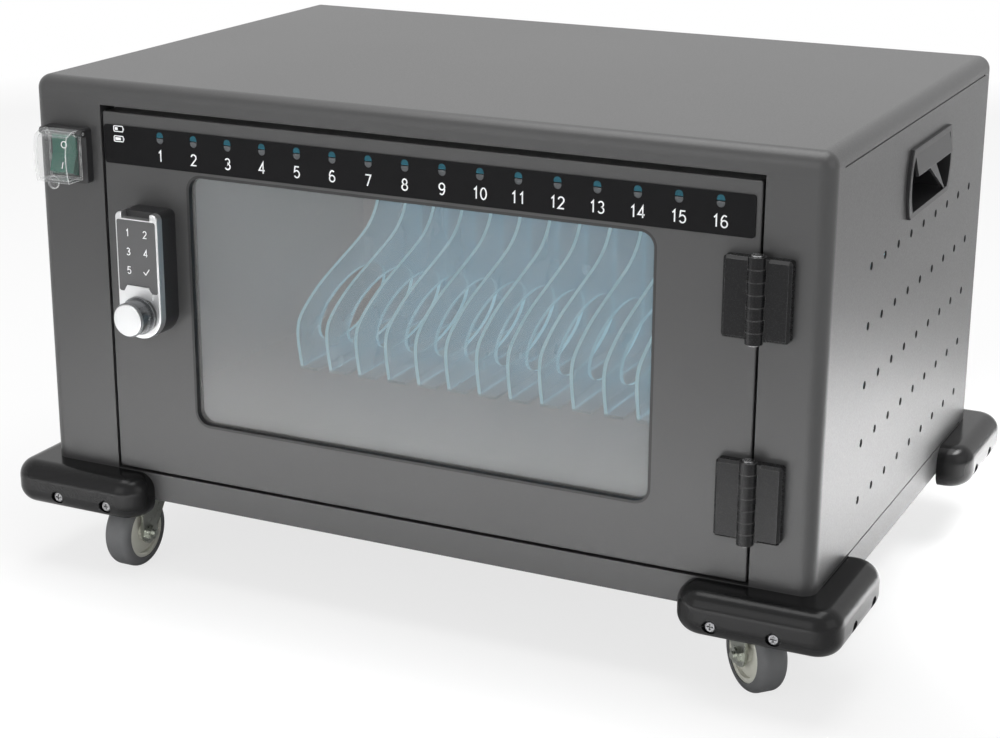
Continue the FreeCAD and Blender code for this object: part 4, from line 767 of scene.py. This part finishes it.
class CabinetIndicators(bpy.types.Operator):
    """Black strip with its lights, numerals and battery outlines"""

    bl_idname = "cabinet.indicators"
    bl_label = "Indicator strip"

    def execute(self, context):
        look = finishes()
        strip = grained_finish("black_strip", look.strip, roughness=0.40, grain=0.0022, relief=0.03,
                               edge_colour=grey(0.02), edge_share=0.2, width=0.0004, specular=0.1)
        paint(strip, "indicator_strip")
        teal = grained_finish("teal_lens", look.charging_light, roughness=0.30, grain=0.0009, relief=0.05,
                              edge_colour=(0.05, 0.16, 0.2), edge_share=0.4, specular=0.25)
        paint(teal, "charging_lenses")
        dim = grained_finish("grey_lens", look.ready_light, roughness=0.34, grain=0.0009, relief=0.05,
                             edge_colour=grey(0.2), edge_share=0.4, specular=0.25)
        paint(dim, "ready_lenses")
        board = grained_finish("green_board", look.board, roughness=0.4, grain=0.0015, relief=0.1,
                               edge_colour=(0.1, 0.3, 0.15), edge_share=0.2)
        paint(board, "indicator_board")
        self.print_numbers()
        self.print_batteries()
        return {"FINISHED"}

    def light_places(self):
        """Middles of the lights along the strip, read from the lenses."""
        low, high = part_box("charging_lenses")
        first = low.x + LIGHT_WIDTH / 2
        pitch = (high.x - low.x - LIGHT_WIDTH) / (LIGHT_COUNT - 1)
        return [first + pitch * i for i in range(LIGHT_COUNT)]

    def print_numbers(self):
        """A numeral under each light."""
        size = marks()
        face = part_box("indicator_strip")[0].y
        middle = (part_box("charging_lenses")[0].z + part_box("ready_lenses")[1].z) / 2
        parts = []
        for i, x in enumerate(self.light_places()):
            placement = on_front(x, face, middle - size.number_drop)
            parts += number_parts(i + 1, size.number_size, size.number_stroke, size.print_depth, placement)
        new_piece("strip_numerals", parts, "door")

    def print_batteries(self):
        """Two battery outlines at the strip's left, the upper one less full."""
        size = marks()
        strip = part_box("indicator_strip")[0]
        width = size.battery_width
        height = width / 2
        rim = 3 * size.stroke
        inside = width - rim
        corner = height / 5
        tip = 0.56 * width
        margin = 1.6 * width
        apart = 0.35 * height
        parts = []
        for row, shift, charge in (("charging_lenses", apart, 0.4), ("ready_lenses", -apart, 0.8)):
            low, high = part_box(row)
            placement = on_front(strip.x + margin, strip.y, (low.z + high.z) / 2 + shift)
            case = drawn_line(round_rectangle(width, height, corner), size.stroke, size.print_depth, True)
            bar = [Vector((tip, -corner, 0)), Vector((tip, corner, 0))]
            end = drawn_line(bar, size.stroke, size.print_depth)
            level = [Vector((-inside / 2, 0, 0)), Vector((inside * charge - inside / 2, 0, 0))]
            filling = drawn_line(level, height - rim, size.print_depth)
            parts += [(mesh, placement) for mesh in (case, end, filling)]
        new_piece("strip_battery_marks", parts, "door")


class CabinetLock(bpy.types.Operator):
    """Keypad lock with its printed keys and its knob"""

    bl_idname = "cabinet.lock"
    bl_label = "Keypad lock"

    def execute(self, context):
        look = finishes()
        brushed = (60, 60, 1600)
        turned = (1500, 60, 1500)
        silver = metal_finish("satin_silver_face", look.silver, roughness=0.36, stretch=brushed, relief=0.01)
        paint(silver, "lock_face", "knob_cap")
        skirt = metal_finish("dark_knob_skirt", look.knob, roughness=0.32, stretch=turned)
        paint(skirt, "lock_knob")
        housing = grained_finish("lock_housing_black", look.plastic, roughness=0.36, grain=0.0008, relief=0.1,
                                 edge_colour=grey(0.08), edge_share=0.4)
        paint(housing, "lock_housing")
        keypad = grained_finish("keypad_panel_grey", look.keypad, roughness=0.34, grain=0.0005, relief=0.04,
                                edge_colour=grey(0.08), edge_share=0.2)
        paint(keypad, "keypad_panel")
        self.print_keys()
        return {"FINISHED"}

    def print_keys(self):
        """Numerals in two columns, and a tick on the last key."""
        size = marks()
        low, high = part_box("keypad_panel")
        middle = (low + high) / 2
        column = 0.225 * (high.x - low.x)
        first_row = 0.32 * (high.z - low.z)
        row_step = 0.26 * (high.z - low.z)
        tick = ((-1, 0), (-0.25, -0.8), (1, 0.9))
        tick_reach = size.key_size / 2
        places = []
        for i in range(KEY_COUNT + 1):
            row, right = divmod(i, KEY_COLUMNS)
            x = middle.x + (column if right else -column)
            places.append(on_front(x, low.y, middle.z + first_row - row_step * row))
        parts = []
        for i, placement in enumerate(places[:KEY_COUNT]):
            parts += number_parts(i + 1, size.key_size, size.stroke, size.print_depth, placement)
        line = [Vector((x, y, 0)) * tick_reach for x, y in tick]
        parts.append((drawn_line(line, size.stroke, size.print_depth), places[KEY_COUNT]))
        new_piece("keypad_print", parts, "door")


class CabinetSwitch(bpy.types.Operator):
    """Green mains rocker with its marks, under a clear cover"""

    bl_idname = "cabinet.switch"
    bl_label = "Mains switch"

    def execute(self, context):
        green = grained_finish("green_rocker", finishes().rocker, roughness=0.25, grain=0.0012, relief=0.04,
                               edge_colour=(0.05, 0.3, 0.2), edge_share=0.3)
        paint(green, "switch_rocker")
        paint(clear_moulding_finish(), "switch_cover")
        self.print_marks()
        return {"FINISHED"}

    def print_marks(self):
        """A ring on the rocker's upper half and a bar on its lower half."""
        size = marks()
        half = size.rocker_mark
        low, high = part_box("switch_rocker")
        middle = (low + high) / 2
        reach = 0.24 * (high.z - low.z)
        ring = drawn_line(ring_points(half), size.stroke, size.print_depth, True)
        bar = drawn_line([Vector((0, -half, 0)), Vector((0, half, 0))], size.stroke, size.print_depth)
        parts = []
        for mesh, side in ((ring, 1), (bar, -1)):
            normal, point = self.face_at(middle.x, middle.z + side * reach)
            turn = UP.rotation_difference(normal).to_matrix().to_4x4()
            parts.append((mesh, Matrix.Translation(point) @ turn))
        new_piece("rocker_marks", parts, "switch_rocker")

    def face_at(self, x, z):
        """Normal of the rocker's front face nearest to a height, and the point on its plane."""
        steepest = -0.5
        shape = bmesh.new()
        shape.from_mesh(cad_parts["switch_rocker"].data)
        fronts = [face for face in shape.faces if face.normal.y <= steepest]
        if not fronts:
            raise RuntimeError("the rocker has no front face")
        face = min(fronts, key=lambda front: abs(front.calc_center_median().z - z))
        normal = face.normal.copy()
        corner = face.verts[0].co
        y = corner.y - ((x - corner.x) * normal.x + (z - corner.z) * normal.z) / normal.y
        shape.free()
        return normal, Vector((x, y, z))


class CabinetStudio(bpy.types.Operator):
    """Pale floor, soft lamps, white surround and the camera"""

    bl_idname = "cabinet.studio"
    bl_label = "Studio"

    def execute(self, context):
        self.lay_floor(context)
        self.light_world(context)
        self.hang_lamps(context)
        self.set_camera(context)
        context.scene.view_settings.view_transform = "Standard"
        return {"FINISHED"}

    def path(self, desk):
        """Kinds of ray that reach a surface."""
        return desk.add("ShaderNodeLightPath").outputs

    def seen(self, desk):
        """One where a ray comes from the camera, a reflection or a pane."""
        path = self.path(desk)
        either = desk.maths("MAXIMUM", path["Is Camera Ray"], path["Is Glossy Ray"])
        return desk.maths("MAXIMUM", either, path["Is Transmission Ray"])

    def lay_floor(self, context):
        """Square floor that fades into the white."""
        half = context.scene.cabinet_stage.floor_half
        mesh = bpy.data.meshes.new("studio_floor")
        corners = [(-half, -half, 0), (half, -half, 0), (half, half, 0), (-half, half, 0)]
        mesh.from_pydata(corners, [], [(0, 1, 2, 3)])
        mesh.materials.append(self.floor_finish(context.scene.cabinet_stage))
        floor = bpy.data.objects.new("studio_floor", mesh)
        context.collection.objects.link(floor)

    def floor_finish(self, stage):
        """Pale paper that turns to even white far away, with its shadows lifted for the camera."""
        material, desk, shader = new_material("studio_floor_paper")
        surface = desk.effect("surface_grain", {
            "Colour": opaque(stage.floor_colour), "Roughness": 0.7, "Grain": 0.003, "Variation": 0.01})
        desk.feed(shader, {
            "Base Color": surface["Colour"], "Roughness": surface["Roughness"], "Specular IOR Level": 0.2})
        away = desk.vector_maths("LENGTH", desk.place())["Value"]
        fade = desk.spread(away, (stage.fade_from, stage.fade_to), NONE_TO_ALL)
        lifted = desk.maths("MULTIPLY", self.path(desk)["Is Camera Ray"], stage.floor_white)
        far = desk.maths("MULTIPLY", fade, self.seen(desk))
        white = desk.add("ShaderNodeEmission").outputs[0]
        share = desk.maths("MAXIMUM", lifted, far)
        mixed = desk.feed(desk.add("ShaderNodeMixShader"), {0: share, 1: shader.outputs[0], 2: white})[0]
        desk.feed(desk.tree.nodes["Material Output"], {"Surface": mixed})
        return material

    def light_world(self, context):
        """White surround that shows at full strength and lights with less."""
        world = bpy.data.worlds.new("studio")
        context.scene.world = world
        world.use_nodes = True
        desk = NodeDesk(world.node_tree)
        strength = desk.spread(self.seen(desk), NONE_TO_ALL, (context.scene.cabinet_stage.fill, 1.0))
        desk.feed(world.node_tree.nodes["Background"], {"Color": opaque(WHITE), "Strength": strength})

    def hang_lamps(self, context):
        """Area lamps, which the camera doesn't see."""
        for lamp in LAMPS:
            light = bpy.data.lights.new(lamp.name, "AREA")
            light.shape = "RECTANGLE"
            light.size, light.size_y = lamp.sides
            light.spread = math.radians(lamp.spread)
            light.energy = lamp.power
            holder = bpy.data.objects.new(lamp.name, light)
            context.collection.objects.link(holder)
            holder.location = lamp.place
            ray = Vector(lamp.aim) - Vector(lamp.place)
            holder.rotation_euler = ray.to_track_quat("-Z", "Y").to_euler()
            holder.visible_camera = False

    def set_camera(self, context):
        """Camera at the photograph's viewing angle."""
        stage = context.scene.cabinet_stage
        data = bpy.data.cameras.new("photo_camera")
        data.sensor_width = stage.sensor
        data.lens = stage.lens
        camera = bpy.data.objects.new("photo_camera", data)
        context.collection.objects.link(camera)
        tilt = Matrix.Rotation(math.pi / 2 - stage.elevation, 4, "X")
        turn = Matrix.Rotation(stage.azimuth, 4, "Z") @ tilt @ Matrix.Rotation(stage.roll, 4, "Z")
        camera.matrix_world = Matrix.Translation(stage.camera_place) @ turn
        context.scene.camera = camera


STEPS = (CabinetSheetMetal, CabinetRubber, CabinetPlastics, CabinetWindow, CabinetFittings, CabinetCasters,
         CabinetIndicators, CabinetLock, CabinetSwitch, CabinetStudio)


class CabinetPanel(bpy.types.Panel):
    """Steps that dress the cabinet, and what they can change"""

    bl_idname = "CABINET_PT_dressing"
    bl_label = "Charging cabinet"
    bl_space_type = "VIEW_3D"
    bl_region_type = "UI"
    bl_category = "Cabinet"

    def draw(self, context):
        for step in STEPS:
            self.layout.operator(step.bl_idname)
        scene = context.scene
        for group in (scene.cabinet_finishes, scene.cabinet_marks, scene.cabinet_stage):
            box = self.layout.box()
            for name in group.__annotations__:
                box.prop(group, name)


CLASSES = (CabinetFinishes, CabinetMarks, CabinetStage, *STEPS, CabinetPanel)


def register():
    """Make the classes and the scene's settings known."""
    for kind in CLASSES:
        bpy.utils.register_class(kind)
    bpy.types.Scene.cabinet_finishes = bpy.props.PointerProperty(type=CabinetFinishes)
    bpy.types.Scene.cabinet_marks = bpy.props.PointerProperty(type=CabinetMarks)
    bpy.types.Scene.cabinet_stage = bpy.props.PointerProperty(type=CabinetStage)


def unregister():
    """Take the settings and the classes away again."""
    del bpy.types.Scene.cabinet_stage
    del bpy.types.Scene.cabinet_marks
    del bpy.types.Scene.cabinet_finishes
    for kind in reversed(CLASSES):
        bpy.utils.unregister_class(kind)


def main():
    """Dress the cabinet."""
    register()
    build_groups()
    bpy.ops.cabinet.sheet_metal()
    bpy.ops.cabinet.rubber()
    bpy.ops.cabinet.plastics()
    bpy.ops.cabinet.window()
    bpy.ops.cabinet.fittings()
    bpy.ops.cabinet.casters()
    bpy.ops.cabinet.indicators()
    bpy.ops.cabinet.lock()
    bpy.ops.cabinet.switch()
    bpy.ops.cabinet.studio()


if __name__ == "__main__":
    main()
